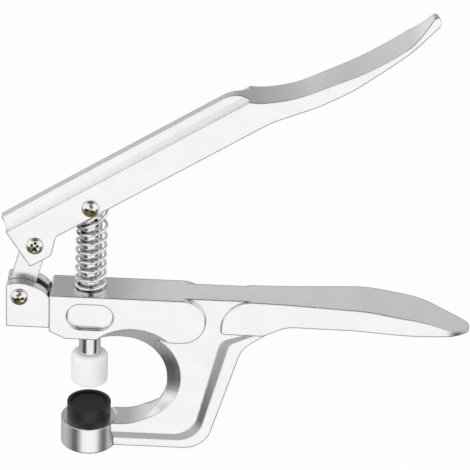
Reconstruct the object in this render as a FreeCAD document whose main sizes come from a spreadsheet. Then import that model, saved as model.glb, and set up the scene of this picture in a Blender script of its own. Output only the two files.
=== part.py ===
import FreeCAD, Part
import math
import os
import Sketcher

# Snap fastener pliers, open as they stand after the return spring has lifted the lever.
# Millimetres. +X points from the plunger to the handles, +Y to the nuts' side, +Z up.
# The origin is the middle of the flat under the seat, on the plunger's axis.

Vector = FreeCAD.Vector
OUTPUT = "parts"

FRAME_SIZES = {
    # The seat of the lower die, on the plunger's axis.
    "seat_radius": 11.5,
    "seat_top": 11.8,
    "seat_chamfer": 0.6,
    "seat_hole_end": 2.5,
    # The throat, its floor and the wide bevel that thins its wall to a lip.
    "throat_floor_step": 0.8,
    "throat_reach": 32.1,
    "throat_round": 18.6,
    "throat_straight": 1.1,
    "throat_slope_lead": 2.5,
    "throat_slope_end": 3.0,
    "throat_bevel_shift_x": 4.3,
    "throat_bevel_shift_z": 4.3,
    "throat_bevel_margin": 3.6,
    "throat_lip_margin": 0.1,
    "throat_lip_half": 1.0,
    # The web is the flat side of the C, the rim its thinner outer edge, a bevel joins them.
    "web_half": 6.6,
    "rim_half": 4.75,
    "bridge_height": 21.75,
    "foot_bottom": 1.0,
    "foot_width": 16.4,
    "foot_corner_round": 12.0,
    "knee_width": 30.2,
    "knee_drop": 23.15,
    "knee_round": 12.0,
    "rim_width_foot": 3.7,
    "rim_width_corner": 3.2,
    "rim_width_knee": 5.1,
    "rim_rise_knee": 1.9,
    "bevel_width_foot": 3.8,
    "bevel_width_corner": 2.1,
    "bevel_width_knee": 3.8,
    "bevel_rise_knee": 2.2,
    "web_round": 11.0,
    "knee_inner_round": 5.0,
    # The block that guides the plunger.
    "block_half": 9.0,
    "block_height": 19.45,
    "block_left": 16.1,
    "block_right_margin": 15.0,
    "block_chamfer_width": 6.4,
    "block_chamfer_height": 3.2,
    "block_end_round": 9.6,
    "block_corner_round": 1.2,
    "bore_clearance": 0.06,
    "recess_shift": 0.4,
    "recess_margin": 4.4,
    "recess_length": 18.8,
    "recess_height": 11.6,
    "recess_round": 5.6,
    "recess_depth": 1.6,
    # The clevis, from the pivot in it.
    "clevis_pivot_x": 28.3,
    "clevis_pivot_drop": 2.35,
    "clevis_end_margin": 5.4,
    "clevis_depth": 13.7,
    "clevis_end_rise": 5.2,
    "clevis_end_round": 1.2,
    "clevis_crown_rise": 6.8,
    "clevis_crown_round": 12.0,
    "clevis_shoulder_lead": 3.1,
    "clevis_shoulder_rise": 3.9,
    "clevis_shoulder_round": 13.0,
    "clevis_dip": 2.35,
    "clevis_root": 6.0,
    "slot_inset": 0.6,
    "slot_clearance": 0.2,
}

GRIP_SIZES = {
    # Side view of the lower handle: steps along it and drops below the frame's flat top.
    "grip_lead": 8.8,
    "grip_end_round": 12.6,
    "heel_drop": 15.25,
    "heel_round": 1.5,
    "heel_length": 17.0,
    "heel_bend_round": 5.0,
    "belly_step": 9.5,
    "belly_drop": 10.35,
    "belly_round": 14.0,
    "arch_step": 28.0,
    "arch_drop": 9.25,
    "arch_round": 80.0,
    "grip_tip_step": 46.2,
    "grip_tip_drop": 11.0,
    "grip_tip_thickness": 1.4,
    "grip_drop_step": 7.2,
    "grip_drop_fall": 9.05,
    "grip_drop_round": 25.0,
    "grip_slope_step": 12.0,
    "grip_slope_fall": 3.95,
    "grip_slope_round": 50.0,
    "grip_level_step": 23.0,
    "grip_level_round": 60.0,
    # Top view of the lower handle, from its tip back.
    "grip_half": 7.5,
    "grip_wide_half": 10.6,
    "grip_widest_half": 11.2,
    "grip_taper_half": 8.0,
    "grip_nose_half": 2.6,
    "grip_nose_round": 4.8,
    "grip_taper_step": 6.2,
    "grip_taper_round": 16.0,
    "grip_widest_step": 17.0,
    "grip_widest_round": 90.0,
    "grip_wide_step": 23.0,
    "grip_wide_round": 250.0,
    "grip_flare_step": 34.0,
    "grip_flare_round": 300.0,
    # The hollow cored into it from below.
    "core_wall": 3.2,
    "core_lead": 6.0,
    "core_roof": 6.25,
    "core_round": 2.5,
}

LEVER_SIZES = {
    # Side view of the lever, along it and square to it from the plunger pivot.
    "lever_end_margin": 6.7,
    "lobe_margin": 7.0,
    "lobe_lead": 3.4,
    "lobe_root_step": 6.0,
    "lobe_round": 3.0,
    "lobe_corner_round": 0.6,
    "cheek_drop": 3.8,
    "cheek_bend_round": 20.0,
    "ridge_height": 12.3,
    "ridge_length": 72.5,
    "ridge_end_round": 12.0,
    "fall_step": 8.0,
    "fall_height": 5.7,
    "fall_round": 30.0,
    "rest_step": 12.5,
    "rest_height": 0.3,
    "rest_round": 50.0,
    "low_step": 35.0,
    "low_drop": 4.0,
    "low_round": 120.0,
    "rise_step": 19.0,
    "rise_drop": 2.2,
    "rise_round": 30.0,
    "tip_step": 9.6,
    "tip_height": 1.2,
    "tip_drop": 3.2,
    "tip_round": 1.5,
    "keel_end_step": 41.6,
    "keel_end_drop": 7.6,
    "keel_step": 15.0,
    "keel_drop": 7.1,
    "keel_round": 60.0,
    "cheek_end_step": 19.5,
    # Top view of the lever, from its tip back.
    "lever_half": 8.0,
    "thumb_half": 8.9,
    "thumb_wide_half": 10.0,
    "thumb_taper_half": 9.4,
    "thumb_nose_half": 2.2,
    "thumb_nose_round": 3.0,
    "thumb_taper_step": 14.1,
    "thumb_taper_round": 14.0,
    "thumb_wide_step": 11.5,
    "thumb_wide_round": 120.0,
    "thumb_half_step": 19.0,
    "thumb_half_round": 600.0,
    "thumb_flare_step": 22.0,
    "thumb_flare_round": 400.0,
    # The coves beside the ridge, and the slot and hollow below it.
    "ridge_half": 2.0,
    "cove_floor": 8.0,
    "cove_round": 4.25,
    "lever_slot_gap": 2.6,
    "lever_slot_length": 20.0,
    "hollow_overlap": 2.0,
    "hollow_wall": 2.6,
    "hollow_roof": 2.7,
    "hollow_height": 5.3,
    "hollow_bend_lead": 1.0,
    "hollow_end_step": 10.0,
    "hollow_end_fall": 4.0,
}

MECHANISM_SIZES = {
    # Pivots: the link's on the lever from the clevis pivot, the plunger's from the frame's top.
    "link_pivot_ahead": 6.3,
    "link_pivot_rise": 24.2,
    "link_pivot_drop": 2.9,
    "plunger_pivot_rise": 39.5,
    "plunger_travel": 9.6,
    "link_half_width": 5.1,
    "link_thickness": 4.4,
    "link_pivot_play": 0.7,
    # Cross head screws and their nuts.
    "screw_radius": 1.96,
    "screw_head_radius": 3.5,
    "screw_head_height": 2.4,
    "screw_head_edge": 0.9,
    "screw_end": 0.8,
    "pivot_clearance": 0.08,
    "thread_clearance": 0.04,
    "nut_flats": 7.0,
    "nut_height": 3.2,
    # The plunger, the spring on it and the washer under the spring.
    "plunger_radius": 4.45,
    "tang_drop": 8.2,
    "tang_rise": 4.4,
    "tang_chamfer": 0.8,
    "washer_radius": 6.8,
    "washer_bore_clearance": 0.4,
    "washer_thickness": 0.6,
    "spring_radius": 5.8,
    "spring_wire_radius": 0.64,
    "spring_closed_pitch": 1.9,
    "spring_lean": 0.5,
    "spring_seat_gap": 0.1,
    "spring_lever_gap": 0.35,
    # The two dies.
    "die_radius": 7.5,
    "die_height": 13.2,
    "die_top_round": 2.0,
    "die_bottom_round": 1.0,
    "die_socket_depth": 1.2,
    "die_socket_clearance": 0.06,
    "die_dimple_radius": 2.3,
    "die_dimple_depth": 1.3,
    "die_lift": 0.6,
    "stud_below": 6.5,
    "stud_above": 10.5,
    "stud_end_gap": 1.5,
    "cup_radius": 9.05,
    "cup_height": 7.5,
    "cup_wall": 1.45,
    "cup_recess_depth": 2.0,
    "cup_edge_round": 0.4,
    "cushion_clearance": 0.15,
    "cushion_thickness": 1.0,
    "cup_screw_head_radius": 3.8,
    "cup_screw_head_height": 2.0,
    "cup_screw_gap": 0.1,
    "cup_screw_end_gap": 1.1,
    # How far a cutting outline runs past the material.
    "overrun": 3.0,
}

# The spring's turns in all, the closed ones at its two ends and the passage from closed to open.
SPRING_TURNS = 8.6
CLOSED_START_TURNS = 0.5
CLOSED_END_TURNS = 0.9
OPENING_TURNS = 0.6
# How its top turns tilt under the sloping lever, and how many stay upright before it leans aside.
TILTING_TURNS = 2.4
TILTED_END_TURNS = 0.3
UPRIGHT_TURNS = 3.0

# A rounded end takes this share of the half width as its radius, so that a short flat stays.
ROUND_END_SHARE = 0.97
NOTHING_CUT_SHARE = 0.0000001


class Length:
    """A size that keeps both its value and the sheet formula that it comes from."""

    def __init__(self, value, formula):
        self.value = float(value)
        self.formula = formula

    @staticmethod
    def of(thing):
        if isinstance(thing, Length):
            return thing
        return Length(thing, format(float(thing), ".12g"))

    def __add__(self, other):
        other = Length.of(other)
        return Length(self.value + other.value, f"({self.formula} + {other.formula})")

    def __sub__(self, other):
        other = Length.of(other)
        return Length(self.value - other.value, f"({self.formula} - {other.formula})")

    def __rsub__(self, other):
        return Length.of(other) - self

    def __mul__(self, other):
        other = Length.of(other)
        return Length(self.value * other.value, f"({self.formula} * {other.formula})")

    def __truediv__(self, other):
        other = Length.of(other)
        return Length(self.value / other.value, f"({self.formula} / {other.formula})")

    def __neg__(self):
        return Length(-self.value, f"(-{self.formula})")

    def root(self):
        return Length(math.sqrt(self.value), f"sqrt({self.formula})")

    __radd__ = __add__
    __rmul__ = __mul__


class Sizes:
    """The sheet of driving sizes, read by name, with the places that follow from them."""

    def __init__(self, document, tables):
        self.sheet = document.addObject("Spreadsheet::Sheet", "Sizes")
        row = 0
        for table in tables:
            for name, value in table.items():
                row += 1
                self.sheet.set(f"A{row}", name)
                self.sheet.set(f"B{row}", str(value))
                self.sheet.setAlias(f"B{row}", name)
        document.recompute()

    def __getattr__(self, name):
        return Length(self.sheet.get(name), f"Sizes.{name}")

    def derive_heights(self):
        """Heights over the seat's flat, from the seat up to the plunger pivot."""
        self.throat_floor = self.seat_top + self.throat_floor_step
        self.throat_top = self.throat_floor + 2 * self.throat_round + self.throat_straight
        self.frame_top = self.throat_top + self.bridge_height
        self.block_bottom = self.frame_top - self.block_height
        self.plunger_pivot_z = self.frame_top + self.plunger_pivot_rise
        self.clevis_pivot_z = self.frame_top - self.clevis_pivot_drop
        self.cup_top = self.seat_top + self.cup_height
        self.cup_floor = self.cup_top - self.cup_recess_depth
        self.die_bottom = self.cup_top + self.die_lift + self.plunger_travel
        self.die_top = self.die_bottom + self.die_height
        self.die_socket_floor = self.die_top - self.die_socket_depth

    def derive_frame_places(self):
        """Places along the frame, from the plunger's axis to the tip of its handle."""
        self.block_right = self.throat_reach + self.block_right_margin
        self.knee_x = self.throat_reach + self.knee_width
        self.grip_left = self.knee_x - self.grip_lead
        self.heel_x = self.grip_left + self.heel_length
        self.belly_x = self.heel_x + self.belly_step
        self.arch_x = self.belly_x + self.arch_step
        self.grip_tip_x = self.arch_x + self.grip_tip_step
        self.grip_taper_x = self.grip_tip_x - self.grip_taper_step
        self.grip_widest_x = self.grip_taper_x - self.grip_widest_step
        self.grip_wide_x = self.grip_widest_x - self.grip_wide_step
        self.grip_flare_x = self.grip_wide_x - self.grip_flare_step
        self.belly_z = self.frame_top - self.belly_drop
        self.heel_z = self.frame_top - self.heel_drop

    def derive_lever_places(self):
        """Places along the lever and the two arms of the linkage."""
        self.rest_x = self.ridge_length + self.fall_step + self.rest_step
        self.low_x = self.rest_x + self.low_step
        self.rise_x = self.low_x + self.rise_step
        self.lever_tip_x = self.rise_x + self.tip_step
        self.arm_x = self.clevis_pivot_x - self.link_pivot_ahead
        self.arm_z = self.plunger_pivot_z - self.clevis_pivot_z - self.link_pivot_rise
        arm_square = self.arm_x * self.arm_x + self.arm_z * self.arm_z
        self.link_pivot_back = (arm_square - self.link_pivot_drop * self.link_pivot_drop).root()
        ahead, rise = self.link_pivot_ahead, self.link_pivot_rise
        self.link_length = (ahead * ahead + rise * rise).root()
        self.lever_back = self.link_pivot_back + self.lever_end_margin
        self.lobe_drop = self.link_pivot_drop + self.lobe_margin


doc = FreeCAD.newDocument("SnapPliers")
z = Sizes(doc, [FRAME_SIZES, GRIP_SIZES, LEVER_SIZES, MECHANISM_SIZES])
z.derive_heights()
z.derive_frame_places()
z.derive_lever_places()


def bind(item, path, length):
    """Give a property its value through the sheet."""
    item.setExpression(path, Length.of(length).formula)


def origin_feature(body, role):
    """One of the body's own origin planes or axes."""
    for feature in body.Origin.OriginFeatures:
        if feature.Role == role:
            return feature
    raise ValueError(f"{body.Label} has no {role}")


def new_body(name):
    body = doc.addObject("PartDesign::Body", name)
    body.Label = name
    return body


def new_sketch(body, name, role, offset=0):
    """A sketch on an origin plane, moved along the plane's normal by an offset."""
    sketch = body.newObject("Sketcher::SketchObject", name)
    sketch.AttachmentSupport = [(origin_feature(body, role), "")]
    sketch.MapMode = "FlatFace"
    sketch.AttachmentOffset = FreeCAD.Placement(Vector(0, 0, Length.of(offset).value), FreeCAD.Rotation())
    bind(sketch, ".AttachmentOffset.Base.z", offset)
    return sketch


def fix_point(sketch, index, position, x, y):
    """Hold a point of the sketch at named distances from its origin."""
    first, second = sketch.addConstraint([
        Sketcher.Constraint("DistanceX", -1, 1, index, position, Length.of(x).value),
        Sketcher.Constraint("DistanceY", -1, 1, index, position, Length.of(y).value),
    ])
    bind(sketch, f"Constraints[{first}]", x)
    bind(sketch, f"Constraints[{second}]", y)


def add_circle(sketch, x, y, radius):
    centre = Vector(Length.of(x).value, Length.of(y).value, 0)
    index = sketch.addGeometry(Part.Circle(centre, Vector(0, 0, 1), radius.value))
    constraint = sketch.addConstraint(Sketcher.Constraint("Radius", index, radius.value))
    bind(sketch, f"Constraints[{constraint}]", radius)
    fix_point(sketch, index, 3, x, y)


def corner_cut(before, corner, after, radius):
    """Where a corner's round meets its two sides, the round's centre and the way it turns."""
    inward = (before - corner).normalize()
    outward = (after - corner).normalize()
    half = inward.getAngle(outward) / 2
    reach = radius / math.tan(half)
    middle = (inward + outward).normalize()
    centre = corner + middle * (radius / math.sin(half))
    return corner + inward * reach, corner + outward * reach, centre, inward.cross(outward).z


def add_outline(sketch, corners):
    """A closed outline of straight sides through named corners, some of them rounded.

    Each corner is (x, y) or (x, y, radius). A rounded corner keeps its own point in the sketch.
    """
    count = len(corners)
    points = [Vector(Length.of(corner[0]).value, Length.of(corner[1]).value, 0) for corner in corners]
    cuts = {}
    for i, corner in enumerate(corners):
        if len(corner) > 2:
            cuts[i] = corner_cut(points[i - 1], points[i], points[(i + 1) % count], corner[2].value)
    sides = []
    for i in range(count):
        start = cuts[i][1] if i in cuts else points[i]
        following = (i + 1) % count
        end = cuts[following][0] if following in cuts else points[following]
        sides.append(sketch.addGeometry(Part.LineSegment(start, end)))
    for i, corner in enumerate(corners):
        arriving, leaving = sides[i - 1], sides[i]
        if i not in cuts:
            sketch.addConstraint(Sketcher.Constraint("Coincident", arriving, 2, leaving, 1))
            fix_point(sketch, leaving, 1, corner[0], corner[1])
            continue
        first, last, centre, turn = cuts[i]
        radius = corner[2]
        ends = (first, last) if turn < 0 else (last, first)
        angles = [math.atan2(end.y - centre.y, end.x - centre.x) for end in ends]
        circle = Part.Circle(centre, Vector(0, 0, 1), radius.value)
        arc = sketch.addGeometry(Part.ArcOfCircle(circle, angles[0], angles[1]))
        arc_first, arc_last = (1, 2) if turn < 0 else (2, 1)
        mark = sketch.addGeometry(Part.Point(points[i]), True)
        rounding = sketch.addConstraint([
            Sketcher.Constraint("Tangent", arriving, 2, arc, arc_first),
            Sketcher.Constraint("Tangent", arc, arc_last, leaving, 1),
            Sketcher.Constraint("PointOnObject", mark, 1, arriving),
            Sketcher.Constraint("PointOnObject", mark, 1, leaving),
            Sketcher.Constraint("Radius", arc, radius.value),
        ])
        bind(sketch, f"Constraints[{rounding[-1]}]", radius)
        fix_point(sketch, mark, 1, corner[0], corner[1])


def build(body):
    """Recompute and return the body's volume, after checking its newest feature."""
    doc.recompute()
    tip = body.Tip
    if "Invalid" in tip.State or "Error" in tip.State or not tip.Shape.isValid():
        raise ValueError(f"{body.Label}: {tip.Label} failed")
    return tip.Shape.Volume


def check_cut(body, label, before):
    """A cut that points away from the solid takes nothing off and shows no error."""
    if before - build(body) < before * NOTHING_CUT_SHARE:
        raise ValueError(f"{body.Label}: {label} cuts nothing")


def pad(body, sketch, length, side="Symmetric"):
    feature = body.newObject("PartDesign::Pad", sketch.Label + "_pad")
    feature.Profile = sketch
    feature.SideType = side
    bind(feature, "Length", length)
    build(body)
    return feature


def pocket(body, sketch, length, side="Symmetric", reverse=False):
    before = build(body)
    feature = body.newObject("PartDesign::Pocket", sketch.Label + "_pocket")
    feature.Profile = sketch
    feature.SideType = side
    feature.Reversed = reverse
    bind(feature, "Length", length)
    check_cut(body, sketch.Label, before)
    return feature


def loft(body, kind, name, sketches):
    feature = body.newObject(kind, name)
    feature.Profile = sketches[0]
    feature.Sections = sketches[1:]
    feature.Ruled = True
    build(body)
    return feature


def mirror(body, feature, role, name):
    copy = body.newObject("PartDesign::Mirrored", name)
    copy.Originals = [feature]
    copy.MirrorPlane = (origin_feature(body, role), [""])
    body.Tip = copy
    build(body)
    return copy


def revolve(body, sketch):
    feature = body.newObject("PartDesign::Revolution", sketch.Label + "_turned")
    feature.Profile = sketch
    feature.ReferenceAxis = (origin_feature(body, "Z_Axis"), [""])
    feature.Angle = 360
    build(body)
    return feature


def turned_body(name, corners):
    """A round piece on the Z axis from its half profile."""
    body = new_body(name)
    profile = new_sketch(body, name + "_profile", "XZ_Plane")
    add_outline(profile, corners)
    revolve(body, profile)
    return body


def add_web(body):
    """The thin rim of the C, the flat web inside it and the bevel that joins them."""
    inner_z = z.frame_top - z.overrun
    foot_x = z.throat_reach + z.foot_width
    knee_z = z.frame_top - z.knee_drop
    rim = new_sketch(body, "rim", "XZ_Plane")
    add_outline(rim, [
        (0, z.foot_bottom),
        (foot_x, z.foot_bottom, z.foot_corner_round),
        (z.knee_x, knee_z, z.knee_round),
        (z.belly_x, z.belly_z),
        (z.belly_x, inner_z),
        (0, inner_z),
    ])
    pad(body, rim, 2 * z.rim_half)

    root_x = foot_x - z.rim_width_corner
    root_z = z.foot_bottom + z.rim_width_foot
    root_knee_x = z.knee_x - z.rim_width_knee
    root_knee_z = knee_z + z.rim_rise_knee
    face_z = root_z + z.bevel_width_foot
    left = z.seat_radius / 2
    root = new_sketch(body, "web_root", "XZ_Plane", z.rim_half)
    add_outline(root, [
        (left, root_z),
        (root_x, root_z, z.web_round),
        (root_knee_x, root_knee_z, z.knee_inner_round),
        (z.belly_x, z.belly_z),
        (z.belly_x, inner_z),
        (left, inner_z),
    ])
    face = new_sketch(body, "web_face", "XZ_Plane", z.web_half)
    add_outline(face, [
        (left, face_z),
        (root_x - z.bevel_width_corner, face_z, z.web_round),
        (root_knee_x - z.bevel_width_knee, root_knee_z + z.bevel_rise_knee, z.knee_inner_round),
        (z.belly_x, z.belly_z),
        (z.belly_x, inner_z),
        (left, inner_z),
    ])
    web = loft(body, "PartDesign::AdditiveLoft", "web", [root, face])
    mirror(body, web, "XZ_Plane", "web_far")

    # A flat bar along the top joins the block, the C and the handle.
    bar = new_sketch(body, "bar", "XZ_Plane")
    add_outline(bar, [
        (0, z.block_bottom),
        (root_knee_x - z.bevel_width_knee, z.block_bottom),
        (z.belly_x, z.belly_z),
        (z.belly_x, z.frame_top),
        (0, z.frame_top),
    ])
    pad(body, bar, 2 * z.web_half)


def add_block(body):
    """The block that guides the plunger and the clevis at its left."""
    block = new_sketch(body, "block", "XZ_Plane")
    add_outline(block, [
        (-z.block_left, z.block_bottom + z.block_chamfer_height),
        (-z.block_left + z.block_chamfer_width, z.block_bottom),
        (z.block_right, z.block_bottom, z.block_end_round),
        (z.block_right, z.frame_top, z.block_end_round),
        (-z.block_left, z.frame_top, z.block_corner_round),
    ])
    pad(body, block, 2 * z.block_half)

    # The clevis is crowned over its pivot and falls to the block.
    end = -z.clevis_pivot_x - z.clevis_end_margin
    root = -z.block_left + z.clevis_root
    shoulder = -z.block_left - z.clevis_shoulder_lead
    dip = z.frame_top - z.clevis_dip
    clevis = new_sketch(body, "clevis", "XZ_Plane")
    add_outline(clevis, [
        (end, z.clevis_pivot_z - z.clevis_depth),
        (root, z.clevis_pivot_z - z.clevis_depth),
        (root, dip),
        (-z.block_left, dip),
        (shoulder, z.clevis_pivot_z + z.clevis_shoulder_rise, z.clevis_shoulder_round),
        (-z.clevis_pivot_x, z.clevis_pivot_z + z.clevis_crown_rise, z.clevis_crown_round),
        (end, z.clevis_pivot_z + z.clevis_end_rise, z.clevis_end_round),
    ])
    pad(body, clevis, 2 * z.web_half)


def add_grip(body):
    """The lower handle: its side view trimmed to its top view, and the hollow cored from below."""
    drop_x = z.grip_tip_x - z.grip_drop_step
    slope_x = drop_x - z.grip_slope_step
    grip = new_sketch(body, "grip", "XZ_Plane")
    add_outline(grip, [
        (z.grip_left, z.heel_z, z.heel_round),
        (z.heel_x, z.heel_z, z.heel_bend_round),
        (z.belly_x, z.belly_z, z.belly_round),
        (z.arch_x, z.frame_top - z.arch_drop, z.arch_round),
        (z.grip_tip_x, z.frame_top - z.grip_tip_drop - z.grip_tip_thickness / 2),
        (z.grip_tip_x, z.frame_top - z.grip_tip_drop + z.grip_tip_thickness / 2),
        (drop_x, z.frame_top - z.grip_drop_fall, z.grip_drop_round),
        (slope_x, z.frame_top - z.grip_slope_fall, z.grip_slope_round),
        (slope_x - z.grip_level_step, z.frame_top, z.grip_level_round),
        (z.grip_left, z.frame_top, z.grip_end_round),
    ])
    pad(body, grip, 2 * z.grip_widest_half)

    start = z.block_right + z.overrun
    beyond_x = z.grip_tip_x + z.overrun
    beyond_y = z.grip_widest_half + z.overrun
    trim = new_sketch(body, "grip_trim", "XY_Plane", z.heel_z - z.overrun)
    add_outline(trim, [
        (start, z.grip_half),
        (z.grip_flare_x, z.grip_half, z.grip_flare_round),
        (z.grip_wide_x, z.grip_wide_half, z.grip_wide_round),
        (z.grip_widest_x, z.grip_widest_half, z.grip_widest_round),
        (z.grip_taper_x, z.grip_taper_half, z.grip_taper_round),
        (z.grip_tip_x, z.grip_nose_half, z.grip_nose_round),
        (z.grip_tip_x, 0),
        (beyond_x, 0),
        (beyond_x, beyond_y),
        (start, beyond_y),
    ])
    side = pocket(body, trim, z.heel_drop + 2 * z.overrun, "One side", True)
    mirror(body, side, "XZ_Plane", "grip_trim_far")

    roof = z.frame_top - z.core_roof
    core = new_sketch(body, "grip_core", "XY_Plane", roof)
    core_start = z.belly_x + z.core_lead
    near = z.grip_half - z.core_wall
    far = z.grip_widest_half - z.core_wall
    add_outline(core, [
        (core_start, -near, z.core_round),
        (z.grip_widest_x, -far, z.core_round),
        (z.grip_widest_x, far, z.core_round),
        (core_start, near, z.core_round),
    ])
    pocket(body, core, z.heel_drop - z.core_roof, "One side")


def cut_throat(body):
    """The throat is open to the left, and a wide bevel on each side thins its wall to a lip."""
    left = -z.block_left - z.overrun
    centre_x = z.throat_reach - z.throat_round
    centre_z = z.throat_top - z.throat_round
    throat = new_sketch(body, "throat", "XZ_Plane")
    add_outline(throat, [
        (left, z.throat_floor),
        (z.throat_reach, z.throat_floor, z.throat_round),
        (z.throat_reach, z.throat_top, z.throat_round),
        (centre_x - z.throat_slope_lead, z.throat_top),
        (z.throat_slope_end, z.block_bottom),
        (left, z.block_bottom),
    ])
    pocket(body, throat, 2 * (z.block_half + z.overrun))
    wide = new_sketch(body, "throat_bevel", "XZ_Plane", z.block_half)
    add_circle(
        wide,
        centre_x + z.throat_bevel_shift_x,
        centre_z + z.throat_bevel_shift_z,
        z.throat_round + z.throat_bevel_margin,
    )
    lip = new_sketch(body, "throat_lip", "XZ_Plane", z.throat_lip_half)
    add_circle(lip, centre_x, centre_z, z.throat_round + z.throat_lip_margin)
    before = build(body)
    bevel = loft(body, "PartDesign::SubtractiveLoft", "throat_cone", [wide, lip])
    check_cut(body, "throat_cone", before)
    mirror(body, bevel, "XZ_Plane", "throat_cone_far")


def add_seat(body):
    """The short round foot under the cup, with the frame cut back round the cup."""
    seat = new_sketch(body, "seat", "XZ_Plane")
    add_outline(seat, [
        (0, 0),
        (z.seat_radius - z.seat_chamfer, 0),
        (z.seat_radius, z.seat_chamfer),
        (z.seat_radius, z.seat_top),
        (0, z.seat_top),
    ])
    revolve(body, seat)
    clear = new_sketch(body, "seat_clear", "XY_Plane", z.seat_top)
    add_circle(clear, 0, 0, z.seat_radius)
    pocket(body, clear, z.cup_height, "One side", True)
    hole = new_sketch(body, "seat_hole", "XY_Plane", z.seat_top)
    add_circle(hole, 0, 0, z.screw_radius + z.thread_clearance)
    pocket(body, hole, z.seat_top - z.seat_hole_end, "One side")


def cut_block(body):
    """The plunger's bore, the clevis slot and its hole, and the bare recess on each side."""
    bore = new_sketch(body, "bore", "XY_Plane", z.frame_top)
    add_circle(bore, 0, 0, z.plunger_radius + z.bore_clearance)
    pocket(body, bore, z.frame_top - z.throat_floor, "One side")

    half = z.link_thickness / 2 + z.slot_clearance
    open_end = -z.clevis_pivot_x - z.clevis_end_margin - z.overrun
    closed_end = -z.block_left + z.slot_inset
    slot = new_sketch(body, "clevis_slot", "XY_Plane", z.clevis_pivot_z + z.clevis_crown_rise + z.overrun)
    add_outline(slot, [
        (open_end, -half),
        (closed_end, -half, half * ROUND_END_SHARE),
        (closed_end, half, half * ROUND_END_SHARE),
        (open_end, half),
    ])
    pocket(body, slot, z.clevis_crown_rise + z.clevis_depth + 2 * z.overrun, "One side")
    pivot = new_sketch(body, "clevis_hole", "XZ_Plane")
    add_circle(pivot, -z.clevis_pivot_x, z.clevis_pivot_z, z.screw_radius + z.pivot_clearance)
    pocket(body, pivot, 2 * (z.web_half + z.overrun))

    recess = new_sketch(body, "recess", "XZ_Plane", z.block_half)
    low = z.block_bottom + z.recess_margin
    high = low + z.recess_height
    near = z.recess_shift - z.recess_length / 2
    far = z.recess_shift + z.recess_length / 2
    add_outline(recess, [
        (near, low, z.recess_round),
        (far, low, z.recess_round),
        (far, high, z.recess_round),
        (near, high, z.recess_round),
    ])
    sunk = pocket(body, recess, z.recess_depth, "One side")
    mirror(body, sunk, "XZ_Plane", "recess_far")


def frame_body():
    """The casting: C-frame, plunger block, clevis, seat and lower handle in one piece."""
    body = new_body("frame")
    add_web(body)
    add_block(body)
    add_grip(body)
    cut_throat(body)
    add_seat(body)
    cut_block(body)
    return body


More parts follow.
